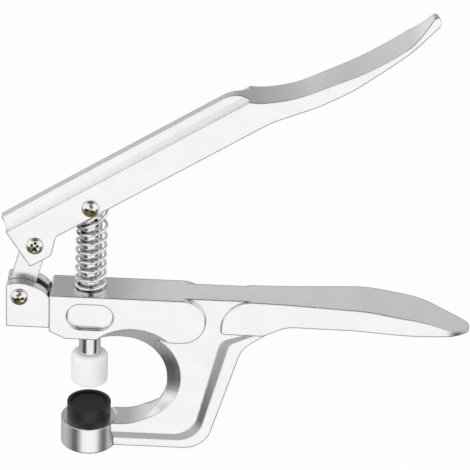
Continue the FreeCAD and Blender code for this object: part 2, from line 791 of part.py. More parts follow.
def lever_body():
    """The upper handle, drawn along its own length from the plunger pivot."""
    body = new_body("lever")
    fall_x = z.ridge_length + z.fall_step
    keel_end_x = z.lever_tip_x - z.keel_end_step
    keel_x = keel_end_x - z.keel_step
    lobe_front = -z.link_pivot_back + z.lobe_lead
    side = new_sketch(body, "lever_side", "XZ_Plane")
    add_outline(side, [
        (-z.lever_back, -z.lobe_drop, z.lobe_corner_round),
        (lobe_front, -z.lobe_drop, z.lobe_round),
        (lobe_front + z.lobe_root_step, -z.cheek_drop, z.lobe_round),
        (keel_x - z.cheek_end_step, -z.cheek_drop, z.cheek_bend_round),
        (keel_x, -z.keel_drop, z.keel_round),
        (keel_end_x, -z.keel_end_drop, z.keel_round),
        (z.lever_tip_x, -z.tip_drop, z.tip_round),
        (z.lever_tip_x, z.tip_height, z.tip_round),
        (z.rise_x, -z.rise_drop, z.rise_round),
        (z.low_x, -z.low_drop, z.low_round),
        (z.rest_x, z.rest_height, z.rest_round),
        (fall_x, z.fall_height, z.fall_round),
        (z.ridge_length, z.ridge_height, z.ridge_end_round),
        (-z.lever_back, z.ridge_height),
    ])
    pad(body, side, 2 * z.thumb_wide_half)

    back = -z.lever_back - z.overrun
    taper_x = z.lever_tip_x - z.thumb_taper_step
    wide_x = taper_x - z.thumb_wide_step
    half_x = wide_x - z.thumb_half_step
    beyond_x = z.lever_tip_x + z.overrun
    beyond_y = z.thumb_wide_half + z.overrun
    trim = new_sketch(body, "lever_trim", "XY_Plane", -z.lobe_drop - z.overrun)
    add_outline(trim, [
        (back, z.lever_half),
        (half_x - z.thumb_flare_step, z.lever_half, z.thumb_flare_round),
        (half_x, z.thumb_half, z.thumb_half_round),
        (wide_x, z.thumb_wide_half, z.thumb_wide_round),
        (taper_x, z.thumb_taper_half, z.thumb_taper_round),
        (z.lever_tip_x, z.thumb_nose_half, z.thumb_nose_round),
        (z.lever_tip_x, 0),
        (beyond_x, 0),
        (beyond_x, beyond_y),
        (back, beyond_y),
    ])
    edge = pocket(body, trim, z.ridge_height + z.lobe_drop + 2 * z.overrun, "One side", True)
    mirror(body, edge, "XZ_Plane", "lever_trim_far")

    # The coves leave a narrow ridge and run out where the thumb plate dips below their floor.
    cove = new_sketch(body, "cove", "YZ_Plane", back)
    outside = z.lever_half + z.overrun
    above = z.ridge_height + z.overrun
    add_outline(cove, [
        (z.ridge_half, z.cove_floor, z.cove_round),
        (outside, z.cove_floor),
        (outside, above),
        (z.ridge_half, above),
    ])
    groove = pocket(body, cove, z.rest_x - back, "One side", True)
    mirror(body, groove, "XZ_Plane", "cove_far")

    # The slot takes the link and the plunger's tang, and a wider hollow follows it.
    bottom = -z.lobe_drop - z.overrun
    ceiling = z.tang_rise + z.lever_slot_gap
    slot = new_sketch(body, "lever_slot", "XZ_Plane")
    add_outline(slot, [
        (back, bottom),
        (z.lever_slot_length, bottom),
        (z.lever_slot_length, ceiling),
        (back, ceiling),
    ])
    pocket(body, slot, z.link_thickness + 2 * z.slot_clearance)
    hollow = new_sketch(body, "lever_hollow", "XZ_Plane")
    hollow_start = z.lever_slot_length - z.hollow_overlap
    hollow_end = z.rest_x + z.hollow_end_step
    add_outline(hollow, [
        (hollow_start, bottom),
        (hollow_end, bottom),
        (hollow_end, -z.hollow_end_fall),
        (z.rest_x, z.rest_height - z.hollow_roof),
        (fall_x, z.fall_height - z.hollow_roof),
        (z.ridge_length - z.hollow_bend_lead, z.hollow_height),
        (hollow_start, z.hollow_height),
    ])
    pocket(body, hollow, 2 * (z.lever_half - z.hollow_wall))

    holes = new_sketch(body, "lever_holes", "XZ_Plane")
    add_circle(holes, 0, 0, z.screw_radius + z.pivot_clearance)
    add_circle(holes, -z.link_pivot_back, -z.link_pivot_drop, z.screw_radius + z.pivot_clearance)
    pocket(body, holes, 2 * (z.lever_half + z.overrun))
    return body


def link_body():
    """The flat link, drawn upright from its clevis pivot."""
    body = new_body("link")
    half = z.link_half_width
    ends = half * ROUND_END_SHARE
    plate = new_sketch(body, "link_plate", "XZ_Plane")
    add_outline(plate, [
        (-half, -half, ends),
        (half, -half, ends),
        (half, z.link_length + half, ends),
        (-half, z.link_length + half, ends),
    ])
    pad(body, plate, z.link_thickness)
    holes = new_sketch(body, "link_holes", "XZ_Plane")
    add_circle(holes, 0, 0, z.screw_radius + z.pivot_clearance)
    add_circle(holes, 0, z.link_length, z.screw_radius + z.link_pivot_play)
    pocket(body, holes, 2 * z.link_thickness)
    return body


def screw_body(name, grip_half):
    """A pan head screw along its own axis: head below, end through the nut above."""
    under = -grip_half
    crown = under - z.screw_head_height
    end = grip_half + z.nut_height + z.screw_end
    return turned_body(name, [
        (0, crown),
        (z.screw_head_radius, crown, z.screw_head_height - z.screw_head_edge),
        (z.screw_head_radius, under),
        (z.screw_radius, under),
        (z.screw_radius, end),
        (0, end),
    ])


def nut_body(name, grip_half):
    """A hex nut on the far end of a screw, along the screw's own axis."""
    body = new_body(name)
    sketch = new_sketch(body, name + "_hex", "XY_Plane", grip_half)
    across = z.nut_flats / 2
    corner = z.nut_flats / math.sqrt(3)
    add_outline(sketch, [
        (corner, 0),
        (corner / 2, across),
        (-corner / 2, across),
        (-corner, 0),
        (-corner / 2, -across),
        (corner / 2, -across),
    ])
    pad(body, sketch, z.nut_height, "One side")
    hole = new_sketch(body, name + "_hole", "XY_Plane", grip_half)
    add_circle(hole, 0, 0, z.screw_radius + z.thread_clearance)
    pocket(body, hole, z.nut_height, "One side", True)
    return body


def plunger_body():
    """The round rod with a flat tang at its top and a threaded end below."""
    low = z.die_socket_floor
    top = z.plunger_pivot_z + z.tang_rise
    body = turned_body("plunger", [
        (0, low),
        (z.plunger_radius, low),
        (z.plunger_radius, top - z.tang_chamfer),
        (z.plunger_radius - z.tang_chamfer, top),
        (0, top),
    ])
    shoulder = z.plunger_pivot_z - z.tang_drop
    reach = z.plunger_radius + z.overrun
    flats = new_sketch(body, "tang_flats", "YZ_Plane")
    add_outline(flats, [
        (z.link_thickness / 2, shoulder),
        (reach, shoulder),
        (reach, top + z.overrun),
        (z.link_thickness / 2, top + z.overrun),
    ])
    flat = pocket(body, flats, 2 * reach)
    mirror(body, flat, "XZ_Plane", "tang_flat_far")
    hole = new_sketch(body, "tang_hole", "XZ_Plane")
    add_circle(hole, 0, z.plunger_pivot_z, z.screw_radius + z.pivot_clearance)
    pocket(body, hole, 2 * reach)
    thread = new_sketch(body, "plunger_thread", "XY_Plane", low)
    add_circle(thread, 0, 0, z.screw_radius + z.thread_clearance)
    pocket(body, thread, z.stud_above + z.stud_end_gap, "One side", True)
    return body


def upper_die_body():
    """The white setting die, with a socket for the plunger's end and a dimple below."""
    socket = z.plunger_radius + z.die_socket_clearance
    thread = z.screw_radius + z.thread_clearance
    floor = z.die_socket_floor
    return turned_body("upper_die", [
        (0, z.die_bottom + z.die_dimple_depth),
        (z.die_dimple_radius, z.die_bottom + z.die_dimple_depth),
        (z.die_dimple_radius, z.die_bottom),
        (z.die_radius, z.die_bottom, z.die_bottom_round),
        (z.die_radius, z.die_top, z.die_top_round),
        (socket, z.die_top),
        (socket, floor),
        (thread, floor),
        (thread, floor - z.stud_below),
        (0, floor - z.stud_below),
    ])


def die_stud_body():
    """The threaded stud that joins the upper die to the plunger."""
    floor = z.die_socket_floor
    return turned_body("upper_die_stud", [
        (0, floor - z.stud_below),
        (z.screw_radius, floor - z.stud_below),
        (z.screw_radius, floor + z.stud_above),
        (0, floor + z.stud_above),
    ])


def cup_die_body():
    """The black cup on the seat, countersunk for its screw."""
    recess = z.cup_radius - z.cup_wall
    hole = z.screw_radius + z.cup_screw_gap
    sink = z.cup_screw_head_radius + z.cup_screw_gap
    return turned_body("cup_die", [
        (hole, z.seat_top),
        (z.cup_radius, z.seat_top),
        (z.cup_radius, z.cup_top, z.cup_edge_round),
        (recess, z.cup_top, z.cup_edge_round),
        (recess, z.cup_floor),
        (sink, z.cup_floor),
        (hole, z.cup_floor - z.cup_screw_head_height),
    ])


def cup_cushion_body():
    """The soft disc on the cup's floor, over the screw's head."""
    body = new_body("cup_cushion")
    disc = new_sketch(body, "cushion_disc", "XY_Plane", z.cup_floor)
    add_circle(disc, 0, 0, z.cup_radius - z.cup_wall - z.cushion_clearance)
    pad(body, disc, z.cushion_thickness, "One side")
    return body


def cup_screw_body():
    """The countersunk screw that holds the cup in the seat."""
    end = z.seat_hole_end + z.cup_screw_end_gap
    top = z.cup_floor - z.cup_screw_gap / 2
    return turned_body("cup_screw", [
        (0, end),
        (z.screw_radius, end),
        (z.screw_radius, top - z.cup_screw_head_height),
        (z.cup_screw_head_radius, top),
        (0, top),
    ])


def spring_washer_body():
    """The thin ring between the spring and the block."""
    hole = z.plunger_radius + z.washer_bore_clearance
    top = z.frame_top + z.washer_thickness
    return turned_body("spring_washer", [
        (hole, z.frame_top),
        (z.washer_radius, z.frame_top),
        (z.washer_radius, top),
        (hole, top),
    ])


def ease(share):
    """A smooth step from 0 to 1, level at both ends."""
    share = min(max(share, 0), 1)
    return share * share * (3 - 2 * share)


class SpringCurve:
    """The middle of the spring's wire: closed ends, open turns, and a top tilted like the lever."""

    def __init__(self, slope):
        self.radius = z.spring_radius.value
        self.closed = z.spring_closed_pitch.value
        self.leaning = z.spring_lean.value
        self.slope = slope
        wire = z.spring_wire_radius.value
        self.bottom = (z.frame_top + z.washer_thickness + z.spring_seat_gap).value + wire
        stretch = math.hypot(1, slope)
        underside = z.plunger_pivot_z.value - z.cheek_drop.value * stretch
        top = underside - (wire + z.spring_lever_gap.value) * stretch
        rise = top - self.bottom - self.closed * SPRING_TURNS
        self.opened = rise / self.open_turns(SPRING_TURNS)

    @staticmethod
    def soft(turn):
        """The length of a ramp that starts gently at zero."""
        if turn <= 0:
            return 0.0
        if turn < OPENING_TURNS:
            return turn * turn / (2 * OPENING_TURNS)
        return turn - OPENING_TURNS / 2

    def open_turns(self, turn):
        """How many open turns lie below a place on the wire."""
        lead = OPENING_TURNS / 2
        closing = SPRING_TURNS - CLOSED_END_TURNS
        return self.soft(turn - CLOSED_START_TURNS + lead) - self.soft(turn - closing + lead)

    def tilt(self, turn):
        """The slope of the turns, from level to the lever's own slope."""
        start = SPRING_TURNS - TILTING_TURNS - TILTED_END_TURNS
        return self.slope * ease((turn - start) / TILTING_TURNS)

    def lean(self, turn):
        """How far the sloping lever has pushed the turns to the right."""
        return self.leaning * ease((turn - UPRIGHT_TURNS) / (SPRING_TURNS - UPRIGHT_TURNS))

    def point(self, turn):
        """A place on the middle of the wire, which starts at the left of the back."""
        angle = 2 * math.pi * turn + math.pi * 5 / 6
        x = self.radius * math.cos(angle) + self.lean(turn)
        height = self.bottom + self.closed * turn + self.opened * self.open_turns(turn)
        return Vector(x, self.radius * math.sin(angle), height + self.tilt(turn) * x)

    def direction(self, turn):
        step = 0.001
        return (self.point(turn + step) - self.point(turn - step)).normalize()

    def least_gap(self):
        """The least free space between two places on the wire that are over half a turn apart."""
        steps = 48
        places = [self.point(i / steps) for i in range(int(SPRING_TURNS * steps) + 1)]
        least = min(
            places[i].distanceToPoint(places[j])
            for i in range(len(places))
            for j in range(i + steps // 2, min(i + 2 * steps, len(places)))
        )
        return least - 2 * z.spring_wire_radius.value


def arc_between(start, tangent, end):
    """The circular arc that leaves a point along a tangent and reaches a second point."""
    chord = end - start
    along = Vector(chord).normalize()
    across = (tangent - along * tangent.dot(along)).normalize()
    lean = tangent.getAngle(chord)
    middle = start + chord / 2 + across * (chord.Length / 2 * math.tan(lean / 2))
    return Part.Arc(start, middle, end)


def biarc(start, start_tangent, end, end_tangent):
    """Two arcs that meet smoothly between two points with given tangents."""
    span = end - start
    both = span.dot(start_tangent + end_tangent)
    spread = 2 * (1 - start_tangent.dot(end_tangent))
    reach = (-both + math.sqrt(both * both + spread * span.dot(span))) / spread
    joint = (start + end + (start_tangent - end_tangent) * reach) / 2
    joint_tangent = (end - joint - end_tangent * reach).normalize()
    return [arc_between(start, start_tangent, joint), arc_between(joint, joint_tangent, end)]


def return_spring(slope):
    """The wound spring as one unbroken tube, on biarcs of a quarter turn."""
    curve = SpringCurve(slope)
    count = int(round(4 * SPRING_TURNS))
    places = [SPRING_TURNS * i / count for i in range(count + 1)]
    arcs = []
    for low, high in zip(places, places[1:]):
        arcs += biarc(curve.point(low), curve.direction(low), curve.point(high), curve.direction(high))
    path = Part.Wire([arc.toShape() for arc in arcs])
    section = Part.Circle(curve.point(0), curve.direction(0), z.spring_wire_radius.value)
    tube = path.makePipeShell([Part.Wire(section.toShape())], True, False)
    if tube.Volume < 0:
        tube.reverse()
    feature = doc.addObject("Part::Feature", "return_spring")
    feature.Label = "return_spring"
    feature.Shape = tube
    print("spring: least gap between turns %.3f mm" % curve.least_gap())
    return feature


def place(item, position, axis=Vector(0, 1, 0), degrees=0.0):
    item.Placement = FreeCAD.Placement(position, FreeCAD.Rotation(axis, degrees))


def place_linkage(lever, link):
    """Put the lever and the link on their pivots and return the three pivots and the lever's slope."""
    clevis = Vector(-z.clevis_pivot_x.value, 0, z.clevis_pivot_z.value)
    joint = clevis + Vector(z.link_pivot_ahead.value, 0, z.link_pivot_rise.value)
    plunger = Vector(0, 0, z.plunger_pivot_z.value)
    arm_angle = math.atan2(z.arm_z.value, z.arm_x.value)
    lever_angle = arm_angle - math.atan2(z.link_pivot_drop.value, z.link_pivot_back.value)
    link_angle = math.atan2(z.link_pivot_ahead.value, z.link_pivot_rise.value)
    place(lever, plunger, degrees=-math.degrees(lever_angle))
    place(link, clevis, degrees=math.degrees(link_angle))
    print("lever rises %.3f degrees, link leans %.3f degrees"
          % (math.degrees(lever_angle), math.degrees(link_angle)))
    for name, spot in (("clevis", clevis), ("link", joint), ("plunger", plunger)):
        print("%s pivot at x %.3f, z %.3f" % (name, spot.x, spot.z))
    return clevis, joint, plunger, math.tan(lever_angle)


def main():
    frame = frame_body()
    lever = lever_body()
    link = link_body()
    clevis, joint, plunger, slope = place_linkage(lever, link)
    parts = [frame, lever, link]

    # Screws and nuts lie along Y, their heads to the front.
    for name, spot, half in (
        ("clevis", clevis, z.web_half),
        ("link", joint, z.lever_half),
        ("plunger", plunger, z.lever_half),
    ):
        for piece in (screw_body(name + "_screw", half), nut_body(name + "_nut", half)):
            place(piece, spot, Vector(-1, 0, 0), 90)
            parts.append(piece)

    parts += [plunger_body(), upper_die_body(), die_stud_body()]
    parts += [cup_die_body(), cup_cushion_body(), cup_screw_body()]
    parts += [spring_washer_body(), return_spring(slope)]

    doc.recompute()
    for item in doc.Objects:
        if "Invalid" in item.State or "Error" in item.State:
            raise ValueError(f"{item.Label} is not built")
    os.makedirs(OUTPUT, exist_ok=True)
    for item in parts:
        if item.Shape.isNull() or not item.Shape.isValid():
            raise ValueError(f"{item.Label} has no valid shape")
        item.Shape.exportStep(os.path.join(OUTPUT, item.Label + ".step"))
        print("%-16s %9.1f mm3, %d solids" % (item.Label, item.Shape.Volume, len(item.Shape.Solids)))


main()
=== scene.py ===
"""Looks of the snap fastener pliers: finishes, detailed pieces and a studio round the CAD frame.

Lengths are in metres in the CAD's own frame: +X to the right along the handle, -Y towards the
camera, +Z up, and the origin under the seat on the plunger's line.
"""

import logging
import math
from abc import ABC, abstractmethod
from collections.abc import Callable, Sequence
from dataclasses import dataclass, field
from typing import Any

import bmesh
import bpy
from mathutils import Matrix, Vector

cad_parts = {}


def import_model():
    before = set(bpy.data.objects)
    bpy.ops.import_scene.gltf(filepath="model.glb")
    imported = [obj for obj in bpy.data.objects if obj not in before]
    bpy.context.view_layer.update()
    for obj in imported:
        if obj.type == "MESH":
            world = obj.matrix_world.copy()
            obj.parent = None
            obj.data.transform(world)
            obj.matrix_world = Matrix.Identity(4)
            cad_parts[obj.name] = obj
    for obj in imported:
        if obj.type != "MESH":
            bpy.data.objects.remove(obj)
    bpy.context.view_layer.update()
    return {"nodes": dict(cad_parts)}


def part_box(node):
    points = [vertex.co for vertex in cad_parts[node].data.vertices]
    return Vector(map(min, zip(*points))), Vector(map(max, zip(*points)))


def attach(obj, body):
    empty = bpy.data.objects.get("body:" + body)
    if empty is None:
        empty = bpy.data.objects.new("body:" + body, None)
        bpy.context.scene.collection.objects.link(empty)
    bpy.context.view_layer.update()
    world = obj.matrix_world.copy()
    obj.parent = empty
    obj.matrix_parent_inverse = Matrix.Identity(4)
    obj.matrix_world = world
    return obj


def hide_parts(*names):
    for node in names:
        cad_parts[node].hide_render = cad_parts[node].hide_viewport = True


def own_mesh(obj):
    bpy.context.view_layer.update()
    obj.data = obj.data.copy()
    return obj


LOG = logging.getLogger("snap_pliers")
MM = 0.001
TURN = 2 * math.pi
HEX_SIDE = math.pi / 3


def linear(hex_colour: str) -> tuple[float, float, float, float]:
    """Turn an sRGB hex colour into the linear colour that a shader takes.

    Args:
        hex_colour: Six hex digits, red first.

    Returns:
        Red, green, blue and an alpha of one.
    """
    channels = [int(hex_colour[i : i + 2], 16) / 255 for i in (0, 2, 4)]
    # The sRGB curve has a straight foot and a power above it.
    red, green, blue = (
        c / 12.92 if c <= 0.04045 else ((c + 0.055) / 1.055) ** 2.4 for c in channels
    )
    return (red, green, blue, 1.0)


def per_metre(size: float) -> float:
    """How many features of a size fit in a metre, which is a texture's scale."""
    return 1.0 / size


def ease(share: float) -> float:
    """A smooth step from 0 to 1, for a share that may lie outside of these."""
    held = min(max(share, 0.0), 1.0)
    return held * held * (3 - 2 * held)


def add_node(
    tree: bpy.types.NodeTree,
    kind: str,
    settings: dict[str, Any] | None = None,
    inputs: dict[str | int, Any] | None = None,
) -> bpy.types.Node:
    """Add one node with its settings, its values and its links.

    Args:
        tree: The node tree that gets the node.
        kind: Blender's name of the node type.
        settings: Attributes of the node itself.
        inputs: Value or linked socket for each input, by the input's name or place.

    Returns:
        The new node.
    """
    node = tree.nodes.new(kind)
    for name, value in (settings or {}).items():
        setattr(node, name, value)
    for name, value in (inputs or {}).items():
        if isinstance(value, bpy.types.NodeSocket):
            tree.links.new(value, node.inputs[name])
        else:
            node.inputs[name].default_value = value
    return node


def fill_ramp(ramp: bpy.types.Node, stops: Sequence[tuple[float, str]]) -> None:
    """Give a colour ramp its stops.

    Args:
        ramp: The colour ramp node.
        stops: Place from 0 to 1 and hex colour of each stop, in order.
    """
    elements = ramp.color_ramp.elements
    elements[0].position = stops[0][0]
    elements[0].color = linear(stops[0][1])
    elements[1].position = stops[-1][0]
    elements[1].color = linear(stops[-1][1])
    for place, colour in stops[1:-1]:
        elements.new(place).color = linear(colour)


@dataclass(frozen=True)
class Finish(ABC):
    """A material and how its surface was made."""

    name: str

    @abstractmethod
    def shade(self, tree: bpy.types.NodeTree, place: bpy.types.NodeSocket) -> bpy.types.Node:
        """Build the surface's nodes.

        Args:
            tree: The material's node tree.
            place: The surface's own place in metres.

        Returns:
            The shader node.
        """

    def material(self) -> bpy.types.Material:
        """Make the material once and hand it out again after that.

        Returns:
            The finish's material.
        """
        made = bpy.data.materials.get(self.name)
        if made:
            return made
        made = bpy.data.materials.new(self.name)
        made.use_nodes = True
        tree = made.node_tree
        tree.nodes.clear()
        coordinate = add_node(tree, "ShaderNodeTexCoord")
        shader = self.shade(tree, coordinate.outputs["Object"])
        add_node(tree, "ShaderNodeOutputMaterial", inputs={"Surface": shader.outputs[0]})
        return made

    def sheltered(
        self, tree: bpy.types.NodeTree, width: float, from_open: float, to_open: float
    ) -> bpy.types.NodeSocket:
        """How far a place is sheltered by what stands round it.

        Args:
            tree: The material's node tree.
            width: How far off the neighbours still count.
            from_open: The open share at which shelter begins.
            to_open: The open share at which it is full.

        Returns:
            A share from 0 in the open to 1 in a slot.
        """
        openness = add_node(
            tree, "ShaderNodeAmbientOcclusion", {"samples": 8}, {"Distance": width}
        )
        return add_node(
            tree,
            "ShaderNodeMapRange",
            inputs={
                "Value": openness.outputs["AO"],
                "From Min": from_open,
                "From Max": to_open,
            },
        ).outputs[0]


@dataclass(frozen=True)
class TumbledMetal(Finish):
    """Aluminium finished in a stone tumbler, then buffed, as a die casting or as a flat bar.

    It mirrors the studio softly. Flat faces have a faint cloudiness and orange peel, the rounded
    edges carry a painted dark, slightly uneven line of shade, and slots are painted dark as
    shade.
    """

    bright: str = "FBFBFB"
    cloudy: str = "F6F6F6"
    # Painted shade: the dark line along rounded edges.
    edge_line_shade: str = "3C3C3C"
    # Painted shade in slots and recesses.
    slot_shade: str = "1E1E1E"
    roughness: float = 0.26
    edge_radius: float = 0.9 * MM
    slot_width: float = 6.0 * MM
    # Clouds of 9 mm are where the buffing wheel has pressed harder.
    cloud_size: float = 9.0 * MM
    # The peel of a die casting is about 0.3 mm; 0.7 mm is as fine as the render shows.
    peel_size: float = 0.7 * MM
    peel_depth: float = 0.05 * MM
    # The painted shade lines vary in darkness about every 1.2 mm along an edge.
    mark_size: float = 1.2 * MM
    # How dark an edge's line is, by the upward part of its direction: an edge that leans back a
    # little mirrors the white wall, so its line stays pale.
    line_stops: tuple[tuple[float, str], ...] = (
        (0.03, "FFFFFF"),
        (0.12, "707070"),
        (0.5, "707070"),
        (0.65, "FFFFFF"),
    )
    # Near the step behind the seat's ring the painted edge lines and slot shade are left out.
    shade_free_place: tuple[float, float, float] = (10.6 * MM, 2.5 * MM, 12.2 * MM)
    shade_free_reach: float = 6.5 * MM
    shade_free_fade: float = 1.5 * MM

    def painted_shade_kept(
        self, tree: bpy.types.NodeTree, place: bpy.types.NodeSocket
    ) -> bpy.types.NodeSocket:
        """Where the painted edge lines and slot shade are kept.

        Args:
            tree: The material's node tree.
            place: The surface's own place in metres.

        Returns:
            A share from 0 beside the seat to 1 everywhere else.
        """
        beside_seat = add_node(
            tree,
            "ShaderNodeVectorMath",
            {"operation": "DISTANCE"},
            {0: place, 1: Vector(self.shade_free_place)},
        )
        return add_node(
            tree,
            "ShaderNodeMapRange",
            inputs={
                "Value": beside_seat.outputs["Value"],
                "From Min": self.shade_free_reach - self.shade_free_fade,
                "From Max": self.shade_free_reach,
            },
        ).outputs[0]

    def painted_edge_lines(
        self,
        tree: bpy.types.NodeTree,
        place: bpy.types.NodeSocket,
        rounded: bpy.types.NodeSocket,
    ) -> bpy.types.NodeSocket:
        """How strongly an edge is painted with its dark line of shade.

        Args:
            tree: The material's node tree.
            place: The surface's own place in metres.
            rounded: The direction of the surface with its edges rounded.

        Returns:
            A share from 0 on flat faces to 1 on an edge with its full painted line.
        """
        geometry = add_node(tree, "ShaderNodeNewGeometry")
        agreement = add_node(
            tree,
            "ShaderNodeVectorMath",
            {"operation": "DOT_PRODUCT"},
            {0: rounded, 1: geometry.outputs["Normal"]},
        )
        edge = add_node(
            tree,
            "ShaderNodeMapRange",
            inputs={
                "Value": agreement.outputs["Value"],
                "From Min": 0.998,
                "From Max": 0.95,
            },
        )
        marks = add_node(
            tree,
            "ShaderNodeTexNoise",
            inputs={"Vector": place, "Scale": per_metre(self.mark_size), "Detail": 2.0},
        )
        uneven = add_node(
            tree,
            "ShaderNodeMapRange",
            inputs={
                "Value": marks.outputs["Fac"],
                "From Min": 0.35,
                "From Max": 0.65,
                "To Min": 0.6,
            },
        )
        leaning = add_node(tree, "ShaderNodeSeparateXYZ", inputs={0: rounded})
        lined = add_node(tree, "ShaderNodeValToRGB", inputs={"Fac": leaning.outputs["Z"]})
        fill_ramp(lined, self.line_stops)
        uneven_edge_line = add_node(
            tree,
            "ShaderNodeMath",
            {"operation": "MULTIPLY"},
            {0: edge.outputs[0], 1: uneven.outputs[0]},
        )
        return add_node(
            tree,
            "ShaderNodeMath",
            {"operation": "MULTIPLY"},
            {0: uneven_edge_line.outputs[0], 1: lined.outputs["Color"]},
        ).outputs[0]

    def shade(self, tree: bpy.types.NodeTree, place: bpy.types.NodeSocket) -> bpy.types.Node:
        """Cloudy bright metal with rounded edges, painted dark edge lines and painted shade in
        slots.

        Args:
            tree: The material's node tree.
            place: The surface's own place in metres.

        Returns:
            The shader node.
        """
        clouds = add_node(
            tree,
            "ShaderNodeTexNoise",
            inputs={
                "Vector": place,
                "Scale": per_metre(self.cloud_size),
                "Detail": 3.0,
                "Roughness": 0.6,
            },
        )
        peel = add_node(
            tree,
            "ShaderNodeTexNoise",
            inputs={"Vector": place, "Scale": per_metre(self.peel_size), "Detail": 2.0},
        )
        soft_edge = add_node(
            tree, "ShaderNodeBevel", {"samples": 6}, {"Radius": self.edge_radius}
        )
        painted_shade_kept = self.painted_shade_kept(tree, place)
        edge_line_share = add_node(
            tree,
            "ShaderNodeMath",
            {"operation": "MULTIPLY"},
            {0: self.painted_edge_lines(tree, place, soft_edge.outputs["Normal"]), 1: painted_shade_kept},
        )
        tone = add_node(
            tree,
            "ShaderNodeMix",
            {"data_type": "RGBA"},
            {0: clouds.outputs["Fac"], 6: linear(self.bright), 7: linear(self.cloudy)},
        )
        # Painted shade: a dark line along each rounded edge.
        colour = add_node(
            tree,
            "ShaderNodeMix",
            {"data_type": "RGBA"},
            {0: edge_line_share.outputs[0], 6: tone.outputs[2], 7: linear(self.edge_line_shade)},
        )
        # Painted shade in slots and recesses, from how closely other faces stand round.
        slot_shade_share = add_node(
            tree,
            "ShaderNodeMath",
            {"operation": "MULTIPLY"},
            {0: self.sheltered(tree, self.slot_width, 0.5, 0.32), 1: painted_shade_kept},
        )
        finished = add_node(
            tree,
            "ShaderNodeMix",
            {"data_type": "RGBA"},
            {0: slot_shade_share.outputs[0], 6: colour.outputs[2], 7: linear(self.slot_shade)},
        )
        dulled = add_node(
            tree,
            "ShaderNodeMapRange",
            inputs={
                "Value": clouds.outputs["Fac"],
                "From Min": 0.3,
                "From Max": 0.7,
                "To Min": self.roughness - 0.03,
                "To Max": self.roughness + 0.04,
            },
        )
        bumps = add_node(
            tree,
            "ShaderNodeBump",
            inputs={
                "Strength": 0.08,
                "Distance": self.peel_depth,
                "Height": peel.outputs["Fac"],
                "Normal": soft_edge.outputs["Normal"],
            },
        )
        return add_node(
            tree,
            "ShaderNodeBsdfPrincipled",
            inputs={
                "Base Color": finished.outputs[2],
                "Metallic": 1.0,
                "Roughness": dulled.outputs[0],
                "Normal": bumps.outputs[0],
            },
        )


@dataclass(frozen=True)
class DrawnMetal(Finish):
    """Bright plated steel with fine level lines from drawing, grinding or stamping.

    The lines stretch each highlight up and down. Places between the turns of the spring and
    beside the bushes are painted darker as shade.
    """

    bright: str
    dark: str
    roughness: float
    line: float
    stretch: float
    depth: float
    # Painted shade where other parts stand close.
    gap_shade: str = "6E6E6E"
    gap: float = 1.2 * MM
    stain_size: float = 4.0 * MM

    def shade(self, tree: bpy.types.NodeTree, place: bpy.types.NodeSocket) -> bpy.types.Node:
        """Lines of the stated width in roughness and relief, over faint stains.

        Args:
            tree: The material's node tree.
            place: The surface's own place in metres.

        Returns:
            The shader node.
        """
        lines_per_metre = per_metre(self.line)
        scale = Vector((lines_per_metre / self.stretch, lines_per_metre, lines_per_metre))
        stretched = add_node(tree, "ShaderNodeMapping", inputs={"Vector": place, "Scale": scale})
        lines = add_node(
            tree,
            "ShaderNodeTexNoise",
            inputs={"Vector": stretched.outputs[0], "Scale": 1.0, "Detail": 2.0},
        )
        stains = add_node(
            tree,
            "ShaderNodeTexNoise",
            inputs={"Vector": place, "Scale": per_metre(self.stain_size), "Detail": 2.0},
        )
        colour = add_node(
            tree,
            "ShaderNodeMix",
            {"data_type": "RGBA"},
            {0: stains.outputs["Fac"], 6: linear(self.bright), 7: linear(self.dark)},
        )
        # Painted shade in the gaps, from how closely other faces stand round.
        finished = add_node(
            tree,
            "ShaderNodeMix",
            {"data_type": "RGBA"},
            {
                0: self.sheltered(tree, self.gap, 0.7, 0.3),
                6: colour.outputs[2],
                7: linear(self.gap_shade),
            },
        )
        rough = add_node(
            tree,
            "ShaderNodeMapRange",
            inputs={
                "Value": lines.outputs["Fac"],
                "From Min": 0.3,
                "From Max": 0.7,
                "To Min": self.roughness * 0.8,
                "To Max": self.roughness * 1.3,
            },
        )
        bumps = add_node(
            tree,
            "ShaderNodeBump",
            inputs={"Strength": 0.3, "Distance": self.depth, "Height": lines.outputs["Fac"]},
        )
        return add_node(
            tree,
            "ShaderNodeBsdfPrincipled",
            inputs={
                "Base Color": finished.outputs[2],
                "Metallic": 1.0,
                "Roughness": rough.outputs[0],
                "Normal": bumps.outputs[0],
            },
        )


